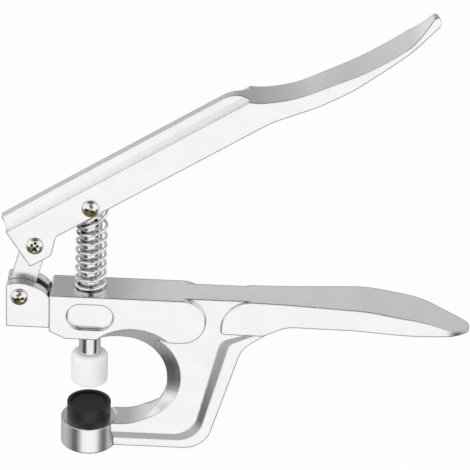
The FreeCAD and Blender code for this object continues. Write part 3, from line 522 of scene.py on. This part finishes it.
@dataclass(frozen=True)
class YellowZinc(Finish):
    """Zinc-plated steel, passivated yellow.

    The passivation is a thin film, so its straw colour drifts to gold and silver in patches, and
    leans to dark gold on downward faces as painted shade. The driver's cross is painted dark as
    shade.
    """

    straw: str = "FAF5E0"
    gold: str = "8C7828"
    silver: str = "EFEDEA"
    # Painted shade for the driver's cross.
    cross_shade: str = "241E0E"
    roughness: float = 0.09
    cross_width: float = 1.6 * MM
    # The film changes over about 2 mm. Downward faces are pushed towards dark gold, a painted
    # shade on the lower part of each head.
    film_size: float = 2.2 * MM
    lower_shade_weight: float = 0.4
    # Pits of about 0.1 mm are drawn at 0.35 mm, or the render would lose them.
    pit_size: float = 0.35 * MM
    pit_depth: float = 0.02 * MM

    def shade(self, tree: bpy.types.NodeTree, place: bpy.types.NodeSocket) -> bpy.types.Node:
        """Patches of straw, gold and silver over a slightly pitted plating, with painted shade
        low on each head and in the cross.

        Args:
            tree: The material's node tree.
            place: The surface's own place in metres.

        Returns:
            The shader node.
        """
        film = add_node(
            tree,
            "ShaderNodeTexNoise",
            inputs={"Vector": place, "Scale": per_metre(self.film_size), "Detail": 3.0},
        )
        geometry = add_node(tree, "ShaderNodeNewGeometry")
        upward = add_node(tree, "ShaderNodeSeparateXYZ", inputs={0: geometry.outputs["Normal"]})
        # Painted shade: the colour slides towards dark gold where the face points down.
        film_and_lower_shade = add_node(
            tree,
            "ShaderNodeMath",
            {"operation": "MULTIPLY_ADD"},
            {0: upward.outputs["Z"], 1: self.lower_shade_weight, 2: film.outputs["Fac"]},
        )
        colour = add_node(tree, "ShaderNodeValToRGB", inputs={"Fac": film_and_lower_shade.outputs[0]})
        fill_ramp(colour, ((0.38, self.gold), (0.47, self.straw), (0.62, self.silver)))
        pits = add_node(
            tree,
            "ShaderNodeTexNoise",
            inputs={"Vector": place, "Scale": per_metre(self.pit_size), "Detail": 1.0},
        )
        rough = add_node(
            tree,
            "ShaderNodeMapRange",
            inputs={
                "Value": pits.outputs["Fac"],
                "From Min": 0.35,
                "From Max": 0.7,
                "To Min": self.roughness,
                "To Max": self.roughness + 0.12,
            },
        )
        bumps = add_node(
            tree,
            "ShaderNodeBump",
            inputs={"Strength": 0.25, "Distance": self.pit_depth, "Height": pits.outputs["Fac"]},
        )
        # Painted shade in the driver's cross, from how closely its walls stand round.
        finished = add_node(
            tree,
            "ShaderNodeMix",
            {"data_type": "RGBA"},
            {
                0: self.sheltered(tree, self.cross_width, 0.85, 0.3),
                6: colour.outputs["Color"],
                7: linear(self.cross_shade),
            },
        )
        return add_node(
            tree,
            "ShaderNodeBsdfPrincipled",
            inputs={
                "Base Color": finished.outputs[2],
                "Metallic": 1.0,
                "Roughness": rough.outputs[0],
                "Normal": bumps.outputs[0],
            },
        )


@dataclass(frozen=True)
class MouldedPlastic(Finish):
    """A moulded plastic or rubber: nylon, acetal or nitrile.

    It takes a broad soft highlight, and its grain and small scuffs break that up. Light sinks a
    little into nylon.
    """

    colour: str
    cloudy: str
    roughness: float
    ior: float
    grain: float
    relief: float
    sinking: float = 0.0
    sinking_depth: float = 1.2 * MM
    cloud_size: float = 3.5 * MM

    def shade(self, tree: bpy.types.NodeTree, place: bpy.types.NodeSocket) -> bpy.types.Node:
        """Two close tones, a fine grain and, for nylon, light that sinks in.

        Args:
            tree: The material's node tree.
            place: The surface's own place in metres.

        Returns:
            The shader node.
        """
        clouds = add_node(
            tree,
            "ShaderNodeTexNoise",
            inputs={"Vector": place, "Scale": per_metre(self.cloud_size), "Detail": 2.0},
        )
        tone = add_node(
            tree,
            "ShaderNodeMix",
            {"data_type": "RGBA"},
            {0: clouds.outputs["Fac"], 6: linear(self.colour), 7: linear(self.cloudy)},
        )
        grain = add_node(
            tree,
            "ShaderNodeTexNoise",
            inputs={"Vector": place, "Scale": per_metre(self.grain), "Detail": 2.0},
        )
        rough = add_node(
            tree,
            "ShaderNodeMapRange",
            inputs={
                "Value": grain.outputs["Fac"],
                "From Min": 0.3,
                "From Max": 0.7,
                "To Min": self.roughness - 0.05,
                "To Max": self.roughness + 0.07,
            },
        )
        bumps = add_node(
            tree,
            "ShaderNodeBump",
            inputs={"Strength": 0.4, "Distance": self.relief, "Height": grain.outputs["Fac"]},
        )
        return add_node(
            tree,
            "ShaderNodeBsdfPrincipled",
            inputs={
                "Base Color": tone.outputs[2],
                "Roughness": rough.outputs[0],
                "IOR": self.ior,
                "Subsurface Weight": self.sinking,
                "Subsurface Radius": Vector((1.0, 1.0, 1.0)),
                "Subsurface Scale": self.sinking_depth,
                "Normal": bumps.outputs[0],
            },
        )


CASTING = TumbledMetal("buffed_cast_aluminium")
LINK_BAR = TumbledMetal("tumbled_aluminium_bar", "F8F8F8", "F2F2F2", edge_radius=0.6 * MM)
HARD_CHROME = DrawnMetal(
    name="ground_hard_chrome",
    bright="F0F0F0",
    dark="E4E4E4",
    roughness=0.05,
    line=0.22 * MM,
    stretch=30.0,
    depth=0.002 * MM,
)
BRIGHT_PLATING = DrawnMetal(
    name="bright_nickel_plated_steel",
    bright="E8E8E8",
    dark="D8D8D8",
    roughness=0.14,
    line=0.25 * MM,
    stretch=10.0,
    depth=0.003 * MM,
)
SPRING_WIRE = DrawnMetal(
    name="drawn_nickel_plated_wire",
    bright="FCFCFC",
    dark="F4F4F4",
    roughness=0.06,
    line=0.3 * MM,
    stretch=8.0,
    depth=0.001 * MM,
    # A lighter painted shade between the spring's turns.
    gap_shade="A8A8A8",
)
PLATED_SCREW = YellowZinc("yellow_passivated_zinc")
WHITE_NYLON = MouldedPlastic(
    name="moulded_white_nylon",
    colour="F8F8F8",
    cloudy="F2F2F2",
    roughness=0.42,
    ior=1.53,
    grain=0.6 * MM,
    relief=0.012 * MM,
    sinking=0.25,
)
BLACK_ACETAL = MouldedPlastic(
    name="moulded_black_acetal",
    colour="191A1B",
    cloudy="141415",
    roughness=0.4,
    ior=1.48,
    grain=0.5 * MM,
    relief=0.012 * MM,
)
BLACK_RUBBER = MouldedPlastic(
    name="moulded_black_rubber",
    colour="1E1F1F",
    cloudy="171818",
    roughness=0.7,
    ior=1.52,
    grain=0.45 * MM,
    relief=0.03 * MM,
)


def dress(node: bpy.types.Object, finish: Finish) -> None:
    """Put a finish on a CAD node without touching its mesh.

    Args:
        node: The node's object.
        finish: The finish for all of it.
    """
    if not node.material_slots:
        node.data.materials.append(None)
    for slot in node.material_slots:
        slot.link = "OBJECT"
        slot.material = finish.material()
    LOG.info("%s: CAD shape, %s", node.name, finish.name)


def skin(
    name: str,
    rows: Sequence[Sequence[Vector]],
    finish: Finish,
    loop: bool = False,
    crease: float = 38.0,
) -> bpy.types.Object:
    """Stretch one smooth mesh over a stack of rings.

    Args:
        name: The piece's name.
        rows: Rings of points, each with the same count.
        finish: The finish of the piece.
        loop: True joins the last ring to the first; False closes each end over a middle point.
        crease: The angle in degrees over which an edge stays sharp.

    Returns:
        The new object.
    """
    mesh = bpy.data.meshes.new(name)
    made = bmesh.new()
    rings = [[made.verts.new(point) for point in row] for row in rows]
    pairs = list(zip(rings, rings[1:]))
    if loop:
        pairs.append((rings[-1], rings[0]))
    count = len(rows[0])
    for low, high in pairs:
        for i in range(count):
            j = (i + 1) % count
            made.faces.new((low[i], low[j], high[j], high[i]))
    if not loop:
        for ring in (rings[0], rings[-1]):
            middle = made.verts.new(sum((v.co for v in ring), Vector()) / count)
            for i in range(count):
                made.faces.new((ring[i], ring[(i + 1) % count], middle))
    bmesh.ops.recalc_face_normals(made, faces=made.faces)
    for face in made.faces:
        face.smooth = True
    made.to_mesh(mesh)
    made.free()
    mesh.set_sharp_from_angle(angle=math.radians(crease))
    piece = bpy.data.objects.new(name, mesh)
    bpy.context.scene.collection.objects.link(piece)
    mesh.materials.append(finish.material())
    LOG.info("%s: %d faces", name, len(mesh.polygons))
    return piece


def around(line: Vector, radius: float, along: float, angle: float) -> Vector:
    """A point round a pivot's line, which runs along Y.

    Args:
        line: The X and Z of the line.
        radius: Distance from the line.
        along: Place along Y.
        angle: Angle round the line.

    Returns:
        The point.
    """
    x = line.x + radius * math.cos(angle)
    z = line.y + radius * math.sin(angle)
    return Vector((x, along, z))


@dataclass
class KeptShapes:
    """Nodes whose CAD shapes stay, each with its own finish."""

    nodes: dict[str, bpy.types.Object]
    finishes: tuple[tuple[str, Finish], ...] = ()

    def build(self) -> None:
        """Dress each node."""
        for name, finish in self.finishes:
            dress(self.nodes[name], finish)


@dataclass
class Castings(KeptShapes):
    """The two die castings."""

    finishes: tuple[tuple[str, Finish], ...] = (("frame", CASTING), ("lever", CASTING))


@dataclass
class Mechanism(KeptShapes):
    """The link, the plunger and the washer under the spring."""

    finishes: tuple[tuple[str, Finish], ...] = (
        ("link", LINK_BAR),
        ("plunger", HARD_CHROME),
        ("spring_washer", BRIGHT_PLATING),
    )


@dataclass
class Dies(KeptShapes):
    """The white setting die and the black cup, with what holds them."""

    finishes: tuple[tuple[str, Finish], ...] = (
        ("upper_die", WHITE_NYLON),
        ("upper_die_stud", BRIGHT_PLATING),
        ("cup_die", BLACK_ACETAL),
        ("cup_cushion", BLACK_RUBBER),
        ("cup_screw", BRIGHT_PLATING),
    )


@dataclass
class HexNut:
    """A hex nut with chamfered corners on a screw's far end, turned as its CAD node is."""

    name: str
    body: str
    line: Vector
    bore: float
    mouth_share: float = 1.14
    mouth_depth: float = 0.3 * MM
    flats_share: float = 0.985
    chamfer_rings: int = 7
    chamfer_width_step: float = 0.14 * MM
    chamfer_height_step: float = 0.08 * MM
    segments: int = 96
    crease: float = 25.0
    lead: float = field(init=False)
    half: float = field(init=False)

    def __post_init__(self) -> None:
        """Take a corner's direction and half the width over the flats from the CAD node."""
        vertices = bpy.data.objects[self.name + "_nut"].data.vertices
        corner = max(
            (Vector((v.co.x, v.co.z)) - self.line for v in vertices), key=lambda c: c.length
        )
        self.lead = math.atan2(corner.y, corner.x)
        self.half = corner.length * math.cos(HEX_SIDE / 2)

    def hexagon(self, angle: float) -> float:
        """The hexagon's radius at an angle."""
        return self.half / math.cos((angle - self.lead) % HEX_SIDE - HEX_SIDE / 2)

    def ring(self, limit: float, along: float) -> list[Vector]:
        """A ring of the hexagon with its corners cut.

        Args:
            limit: The radius at which the corners are cut.
            along: The ring's place along Y.

        Returns:
            The ring's points.
        """
        angles = [self.lead + TURN * i / self.segments for i in range(self.segments)]
        return [around(self.line, min(self.hexagon(a), limit), along, a) for a in angles]

    def build(self) -> None:
        """Make the nut in place of its plain CAD node."""
        node = self.name + "_nut"
        low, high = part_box(node)
        mouth = self.bore * self.mouth_share
        flats = self.half * self.flats_share
        chamfer = [
            (flats + i * self.chamfer_width_step, i * self.chamfer_height_step)
            for i in range(self.chamfer_rings)
        ]
        rows = [self.ring(self.bore, low.y + self.mouth_depth), self.ring(mouth, low.y)]
        rows += [self.ring(limit, low.y + drop) for limit, drop in chamfer]
        rows += [self.ring(limit, high.y - drop) for limit, drop in reversed(chamfer)]
        rows += [self.ring(mouth, high.y), self.ring(self.bore, high.y - self.mouth_depth)]
        nut = skin(node + "_chamfered", rows, PLATED_SCREW, loop=True, crease=self.crease)
        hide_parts(node)
        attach(nut, self.body)


@dataclass
class PivotScrew:
    """A pan head cross screw with its nut, across the mechanism."""

    name: str
    body: str
    cross_degrees: float
    head_height: float = 2.4 * MM
    head_chamfer: float = 0.15 * MM
    crown_height: float = 2.1 * MM
    crown_fullness: float = 1.85
    # The crown's rings are close together as far as the cross reaches.
    fine_step: float = 0.06 * MM
    fine_reach: float = 2.2 * MM
    cross_reach: float = 2.15 * MM
    cross_half: float = 0.55 * MM
    cross_middle: float = 1.0 * MM
    cross_depth: float = 1.7 * MM
    cross_wall: float = 0.14 * MM
    # The cross's floor rises towards the ends of its arms.
    floor_fullness: float = 1.1
    floor_end_share: float = 1.08
    floor_run_share: float = 0.7
    shank_radius: float = 1.96 * MM
    thread_depth: float = 0.42 * MM
    thread_pitch: float = 0.7 * MM
    thread_length: float = 6.0 * MM
    thread_steepness: float = 1.25
    crest_share: float = 0.12
    rings_per_pitch: int = 8
    segments: int = 120
    line: Vector = field(init=False)
    crown_y: float = field(init=False)
    end_y: float = field(init=False)
    radius: float = field(init=False)

    def __post_init__(self) -> None:
        """Take the screw's line, ends and head radius from its CAD node."""
        node = self.name + "_screw"
        low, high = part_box(node)
        centre = (low + high) / 2
        self.line = Vector((centre.x, centre.z))
        self.crown_y = low.y
        self.end_y = high.y
        self.radius = (high.x - low.x) / 2

    def build(self) -> None:
        """Make the screw and the nut in place of their plain CAD nodes."""
        node = self.name + "_screw"
        rows = self.crown_rows() + self.shank_rows()
        screw = skin(node + "_threaded", rows, PLATED_SCREW)
        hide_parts(node)
        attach(screw, self.body)
        HexNut(self.name, self.body, self.line, self.shank_radius).build()

    def ring(self, place: Callable[[float], tuple[float, float]]) -> list[Vector]:
        """One ring round the screw's line.

        Args:
            place: Gives the radius and the place along Y for an angle.

        Returns:
            The ring's points.
        """
        angles = [TURN * i / self.segments for i in range(self.segments)]
        return [around(self.line, *place(angle), angle) for angle in angles]

    def recess(self, radius: float, angle: float) -> float:
        """How deep the driver's cross goes at a place on the crown.

        Args:
            radius: Distance from the screw's line.
            angle: Angle round it.

        Returns:
            The depth below the crown.
        """
        turned = angle - math.radians(self.cross_degrees)
        sides = sorted((abs(radius * math.cos(turned)), abs(radius * math.sin(turned))))
        across, along = sides
        arm = ease((self.cross_half - across) / self.cross_wall)
        arm *= ease((self.cross_reach - along) / (2 * self.cross_wall))
        middle = ease((self.cross_middle - radius) / self.cross_wall)
        left = self.cross_reach * self.floor_end_share - along
        floor = self.floor_fullness * left / (self.cross_reach * self.floor_run_share)
        return self.cross_depth * max(arm, middle) * min(max(floor, 0.0), 1.0)

    def crown_drop(self, radius: float) -> float:
        """How far the crown has fallen away at a distance from the middle."""
        share = min(radius / self.radius, 1.0) ** self.crown_fullness
        return self.crown_height * (1 - (1 - share) ** (1 / self.crown_fullness))

    def thread(self, along: float, angle: float) -> float:
        """The thread's radius, or the plain shank's where there is no thread.

        Args:
            along: Place along Y.
            angle: Angle round the screw's line.

        Returns:
            The radius there.
        """
        threaded = ease((along - self.end_y + self.thread_length) / self.thread_pitch)
        phase = (along / self.thread_pitch - angle / TURN) % 1.0
        groove = ease(abs(2 * phase - 1) * self.thread_steepness - self.crest_share)
        return self.shank_radius - self.thread_depth * groove * threaded

    def crown_rows(self) -> list[list[Vector]]:
        """The rings from the crown's middle to its rim.

        Returns:
            The rings, with the driver's cross sunk in them.
        """
        count = int(self.fine_reach / self.fine_step)
        fine = [self.fine_step * i for i in range(1, count)]
        rim = [
            self.radius * math.sin(math.radians(a)) ** (2 / self.crown_fullness)
            for a in range(30, 91, 5)
        ]
        return [
            self.ring(lambda a, r=r: (r, self.crown_y + self.crown_drop(r) + self.recess(r, a)))
            for r in fine + [r for r in rim if r > fine[-1]]
        ]

    def shank_rows(self) -> list[list[Vector]]:
        """The rings under the head and along the thread to the tapered end.

        Returns:
            The rings, from the head down.
        """
        under = self.crown_y + self.head_height
        start = self.end_y - self.thread_length
        rows = [
            self.ring(lambda a: (self.radius, under - self.head_chamfer)),
            self.ring(lambda a: (self.radius - self.head_chamfer, under)),
            self.ring(lambda a: (self.shank_radius, under)),
            self.ring(lambda a: (self.shank_radius, start)),
        ]
        count = int(self.thread_length / self.thread_pitch * self.rings_per_pitch)
        for i in range(1, count + 1):
            along = start + self.thread_length * i / count
            taper = self.end_y - along + self.shank_radius - self.thread_depth
            rows.append(
                self.ring(lambda a, y=along, t=taper: (min(self.thread(y, a), t), y))
            )
        return rows


@dataclass
class ReturnSpring:
    """The wound spring round the plunger, its top turns tilted and pushed aside by the lever."""

    turns: float = 8.6
    coil_radius: float = 5.8 * MM
    wire_radius: float = 0.64 * MM
    start_angle: float = math.pi * 5 / 6
    closed_pitch: float = 1.9 * MM
    closed_start_turns: float = 0.5
    closed_end_turns: float = 0.9
    opening_turns: float = 0.6
    tilting_turns: float = 2.4
    tilted_end_turns: float = 0.3
    upright_turns: float = 3.0
    lean: float = 0.5 * MM
    # The tangent of the open lever's own slope, and how far the plunger slides.
    slope: float = 0.64536
    travel: float = 9.6 * MM
    trimmed_share: float = 0.88
    steps: int = 72
    sides: int = 18
    # A share of a turn, to find the wire's direction.
    nudge: float = 0.001
    bottom: float = 0.0
    opened: float = 0.0

    def build(self) -> None:
        """Wind the wire in place of its CAD node."""
        low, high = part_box("return_spring")
        self.bottom = low.z + self.wire_radius
        # Wound closed first, the spring shows how much height is left to its open turns.
        reached = max(point.z for row in self.rows() for point in row)
        self.opened = (high.z - reached) / self.open_turns(self.turns)
        coil = skin("return_spring_coil", self.rows(), SPRING_WIRE)
        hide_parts("return_spring")
        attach(coil, "frame")
        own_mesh(coil)

    def ramp(self, turn: float) -> float:
        """The length of a ramp that starts gently at zero.

        Args:
            turn: How many turns lie past its start.

        Returns:
            The ramp's length there, in turns.
        """
        if turn <= 0:
            return 0.0
        if turn < self.opening_turns:
            return turn * turn / (2 * self.opening_turns)
        return turn - self.opening_turns / 2

    def open_turns(self, turn: float) -> float:
        """How many open turns lie below a place.

        Args:
            turn: The place, in turns from the bottom.

        Returns:
            The count of open turns.
        """
        lead = self.opening_turns / 2
        closing = self.turns - self.closed_end_turns
        return self.ramp(turn - self.closed_start_turns + lead) - self.ramp(turn - closing + lead)

    def rise(self, turn: float) -> float:
        """How far the wire has climbed on the spring's line after a number of turns."""
        return self.closed_pitch * turn + self.opened * self.open_turns(turn)

    def middle(self, turn: float) -> Vector:
        """The place of the wire's middle.

        Args:
            turn: The place, in turns from the bottom.

        Returns:
            The point.
        """
        angle = TURN * turn + self.start_angle
        tilt_from = self.turns - self.tilting_turns - self.tilted_end_turns
        tilt = self.slope * ease((turn - tilt_from) / self.tilting_turns)
        aside = ease((turn - self.upright_turns) / (self.turns - self.upright_turns))
        x = self.coil_radius * math.cos(angle) + self.lean * aside
        y = self.coil_radius * math.sin(angle)
        return Vector((x, y, self.bottom + self.rise(turn) + tilt * x))

    def rows(self) -> list[list[Vector]]:
        """The wire's rings from its bottom end to its top end.

        Returns:
            The rings, the first and the last a little smaller, as a trimmed end is.
        """
        count = int(self.turns * self.steps)
        rows = []
        for i in range(count + 1):
            turn = self.turns * i / count
            middle = self.middle(turn)
            along = (self.middle(turn + self.nudge) - self.middle(turn - self.nudge)).normalized()
            outward = Vector((middle.x, middle.y, 0.0)).normalized()
            upward = outward.cross(along).normalized()
            outward = along.cross(upward)
            trim = self.trimmed_share if i in (0, count) else 1.0
            ring = []
            for k in range(self.sides):
                angle = TURN * k / self.sides
                across = outward * math.cos(angle) + upward * math.sin(angle)
                ring.append(middle + across * (self.wire_radius * trim))
            rows.append(ring)
        return rows


@dataclass
class Studio:
    """A white light tent round the tool, with grey gaps that metal mirrors, and the camera."""

    target: Vector = field(default_factory=lambda: Vector((57.476 * MM, 0.0, 99.204 * MM)))
    distance: float = 1000.0 * MM
    elevation: float = 27.3
    roll: float = 2.5
    lens: float = 191.489
    sensor_width: float = 36.0
    nearest: float = 10.0 * MM
    # The floor: half its side, its colour, and how much of what the camera sees is plain white.
    floor_half: float = 2500.0 * MM
    floor_squares: int = 8
    floor_colour: str = "FAFAFA"
    floor_white_share: float = 0.96
    key_place: tuple[float, float, float] = (-250.0 * MM, -850.0 * MM, 950.0 * MM)
    key_size: tuple[float, float] = (900.0 * MM, 900.0 * MM)
    key_watts: float = 6.5
    panel_place: tuple[float, float, float] = (135.0 * MM, 150.0 * MM, 150.0 * MM)
    panel_size: tuple[float, float] = (250.0 * MM, 120.0 * MM)
    panel_watts: float = 0.025
    # Tent walls by azimuth: 0 is the camera's side, 90 the right and -90 the left.
    low_wall: tuple[tuple[float, str], ...] = (
        (-180, "9C9C9C"),
        (-112, "BEBEBE"),
        (-98, "BABABA"),
        (-90, "A0A0A0"),
        (-74, "9C9C9C"),
        (-68, "4C4C4C"),
        (-46, "4C4C4C"),
        (-36, "B0B0B0"),
        (-30, "BCBCBC"),
        (-24, "FFFFFF"),
        (38, "FFFFFF"),
        (46, "A4A4A4"),
        (55, "949494"),
        (61, "484848"),
        (79, "484848"),
        (86, "B0B0B0"),
        (92, "C0C0C0"),
        (150, "ACACAC"),
        (180, "9C9C9C"),
    )
    high_wall: tuple[tuple[float, str], ...] = (
        (-180, "9E9E9E"),
        (-170, "A8A8A8"),
        (-160, "B2B2B2"),
        (-152, "CCCCCC"),
        (-140, "E8E8E8"),
        (-120, "FFFFFF"),
        (115, "FFFFFF"),
        (135, "CCCCCC"),
        (148, "989898"),
        (170, "969696"),
        (180, "9E9E9E"),
    )
    # What lies between two heights of the tent, each the sine of its elevation.
    roof_from: float = 0.6
    roof_to: float = 0.98
    roof: str = "303030"
    table_from: float = -0.16
    table_to: float = -0.34
    under_from: float = -0.74
    under_to: float = -0.9
    under: str = "AEAEAE"
    # Metal that faces the camera squarely mirrors the dark opening that it looks through: its
    # direction, and the cosines of the angles between which it darkens.
    opening_direction: tuple[float, float, float] = (0.08, -0.885, 0.459)
    opening_from: float = 0.94
    opening_to: float = 0.97
    opening: str = "141414"

    def build(self) -> None:
        """Set up floor, tent, lamps, camera and the plain view transform."""
        self.add_floor()
        self.add_tent()
        key = self.add_lamp("soft_key_lamp", self.key_place, self.key_size, self.key_watts)
        key.visible_glossy = False
        key.rotation_euler = (self.target - key.location).to_track_quat("-Z", "Y").to_euler()
        panel = self.add_lamp(
            "low_back_panel", self.panel_place, self.panel_size, self.panel_watts
        )
        panel.rotation_euler = (-math.pi / 2, 0.0, 0.0)
        self.add_camera()
        bpy.context.scene.view_settings.view_transform = "Standard"

    def add_floor(self) -> None:
        """A pale floor that keeps the tool's soft shadow."""
        mesh = bpy.data.meshes.new("studio_floor")
        made = bmesh.new()
        squares = self.floor_squares
        bmesh.ops.create_grid(
            made, x_segments=squares, y_segments=squares, size=self.floor_half
        )
        made.to_mesh(mesh)
        made.free()
        floor = bpy.data.objects.new("studio_floor", mesh)
        bpy.context.scene.collection.objects.link(floor)
        material = bpy.data.materials.new("studio_white_floor")
        material.use_nodes = True
        tree = material.node_tree
        tree.nodes.clear()
        matt = add_node(
            tree, "ShaderNodeBsdfDiffuse", inputs={"Color": linear(self.floor_colour)}
        )
        white = add_node(tree, "ShaderNodeEmission", inputs={"Color": linear("FFFFFF")})
        path = add_node(tree, "ShaderNodeLightPath")
        share = add_node(
            tree,
            "ShaderNodeMath",
            {"operation": "MULTIPLY"},
            {0: path.outputs["Is Camera Ray"], 1: self.floor_white_share},
        )
        both = add_node(
            tree,
            "ShaderNodeMixShader",
            inputs={0: share.outputs[0], 1: matt.outputs[0], 2: white.outputs[0]},
        )
        add_node(tree, "ShaderNodeOutputMaterial", inputs={"Surface": both.outputs[0]})
        mesh.materials.append(material)
        floor.visible_glossy = False

    def wall_colours(
        self, tree: bpy.types.NodeTree, parts: bpy.types.Node
    ) -> list[bpy.types.NodeSocket]:
        """The colours of the tent's high and low walls.

        Args:
            tree: The world's node tree.
            parts: The node that gives the direction's X, Y and Z.

        Returns:
            The high wall's colour and the low wall's.
        """
        towards = add_node(
            tree, "ShaderNodeMath", {"operation": "MULTIPLY"}, {0: parts.outputs["Y"], 1: -1.0}
        )
        azimuth = add_node(
            tree,
            "ShaderNodeMath",
            {"operation": "ARCTAN2"},
            {0: parts.outputs["X"], 1: towards.outputs[0]},
        )
        turn = add_node(
            tree,
            "ShaderNodeMapRange",
            inputs={"Value": azimuth.outputs[0], "From Min": -math.pi, "From Max": math.pi},
        )
        walls = []
        for stops in (self.high_wall, self.low_wall):
            wall = add_node(tree, "ShaderNodeValToRGB", inputs={"Fac": turn.outputs[0]})
            fill_ramp(wall, [(degrees / 360 + 0.5, colour) for degrees, colour in stops])
            walls.append(wall.outputs["Color"])
        return walls

    def lay_over(
        self,
        tree: bpy.types.NodeTree,
        seen: bpy.types.NodeSocket,
        colour: Sequence[float] | bpy.types.NodeSocket,
        measure: bpy.types.NodeSocket,
        span: tuple[float, float],
    ) -> bpy.types.NodeSocket:
        """Lay one part of the tent over what is seen so far.

        Args:
            tree: The world's node tree.
            seen: The colour so far.
            colour: The part's colour, or a socket that gives it.
            measure: What tells where the part lies.
            span: The measure's values where the part begins and where it is full.

        Returns:
            The colour with the part in it.
        """
        level = add_node(
            tree,
            "ShaderNodeMapRange",
            {"interpolation_type": "SMOOTHSTEP"},
            {"Value": measure, "From Min": span[0], "From Max": span[1]},
        )
        return add_node(
            tree,
            "ShaderNodeMix",
            {"data_type": "RGBA"},
            {0: level.outputs[0], 6: seen, 7: colour},
        ).outputs[2]

    def add_tent(self) -> None:
        """The tent: white for the camera, and walls with gaps for what the metal mirrors."""
        world = bpy.data.worlds.new("light_tent")
        bpy.context.scene.world = world
        world.use_nodes = True
        tree = world.node_tree
        tree.nodes.clear()
        direction = add_node(tree, "ShaderNodeTexCoord").outputs["Generated"]
        parts = add_node(tree, "ShaderNodeSeparateXYZ", inputs={0: direction})
        facing = add_node(
            tree,
            "ShaderNodeVectorMath",
            {"operation": "DOT_PRODUCT"},
            {0: direction, 1: Vector(self.opening_direction)},
        )
        height = parts.outputs["Z"]
        seen, low_wall = self.wall_colours(tree, parts)
        for colour, measure, span in (
            (linear(self.roof), height, (self.roof_from, self.roof_to)),
            (low_wall, height, (self.table_from, self.table_to)),
            (linear(self.under), height, (self.under_from, self.under_to)),
            (
                linear(self.opening),
                facing.outputs["Value"],
                (self.opening_from, self.opening_to),
            ),
        ):
            seen = self.lay_over(tree, seen, colour, measure, span)
        tent = add_node(tree, "ShaderNodeBackground", inputs={"Color": seen})
        white = add_node(tree, "ShaderNodeBackground", inputs={"Color": linear("FFFFFF")})
        path = add_node(tree, "ShaderNodeLightPath")
        both = add_node(
            tree,
            "ShaderNodeMixShader",
            inputs={
                0: path.outputs["Is Camera Ray"],
                1: tent.outputs[0],
                2: white.outputs[0],
            },
        )
        add_node(tree, "ShaderNodeOutputWorld", inputs={"Surface": both.outputs[0]})

    def add_lamp(
        self,
        name: str,
        place: tuple[float, float, float],
        size: tuple[float, float],
        watts: float,
    ) -> bpy.types.Object:
        """Add one soft area lamp that the camera doesn't see.

        Args:
            name: The lamp's name.
            place: Where its middle is.
            size: Its width and height.
            watts: Its power.

        Returns:
            The lamp's object.
        """
        data = bpy.data.lights.new(name, "AREA")
        data.shape = "RECTANGLE"
        data.size, data.size_y = size
        data.energy = watts
        lamp = bpy.data.objects.new(name, data)
        bpy.context.scene.collection.objects.link(lamp)
        lamp.location = place
        lamp.visible_camera = False
        return lamp

    def add_camera(self) -> None:
        """The camera of the photograph, slightly rolled."""
        lift = math.radians(self.elevation)
        back = Vector((0.0, -math.cos(lift), math.sin(lift)))
        level_up = Vector((0.0, math.sin(lift), math.cos(lift)))
        tip = math.radians(self.roll)
        right = Vector((math.cos(tip), 0.0, 0.0)) + level_up * math.sin(tip)
        up = level_up * math.cos(tip) - Vector((math.sin(tip), 0.0, 0.0))
        data = bpy.data.cameras.new("catalogue_camera")
        data.lens = self.lens
        data.sensor_width = self.sensor_width
        data.clip_start = self.nearest
        camera = bpy.data.objects.new("catalogue_camera", data)
        turned = Matrix((right, up, back)).transposed().to_4x4()
        camera.matrix_world = Matrix.Translation(self.target + back * self.distance) @ turned
        bpy.context.scene.collection.objects.link(camera)
        bpy.context.scene.camera = camera


def main() -> None:
    """Load the frame and build each sub-assembly and the studio."""
    logging.basicConfig(level=logging.INFO, format="%(name)s: %(message)s")
    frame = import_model()
    nodes = frame["nodes"]
    Castings(nodes).build()
    Mechanism(nodes).build()
    Dies(nodes).build()
    PivotScrew("clevis", "frame", 12.0).build()
    PivotScrew("link", "lever", 38.0).build()
    PivotScrew("plunger", "lever", -16.0).build()
    ReturnSpring().build()
    Studio().build()


if __name__ == "__main__":
    main()
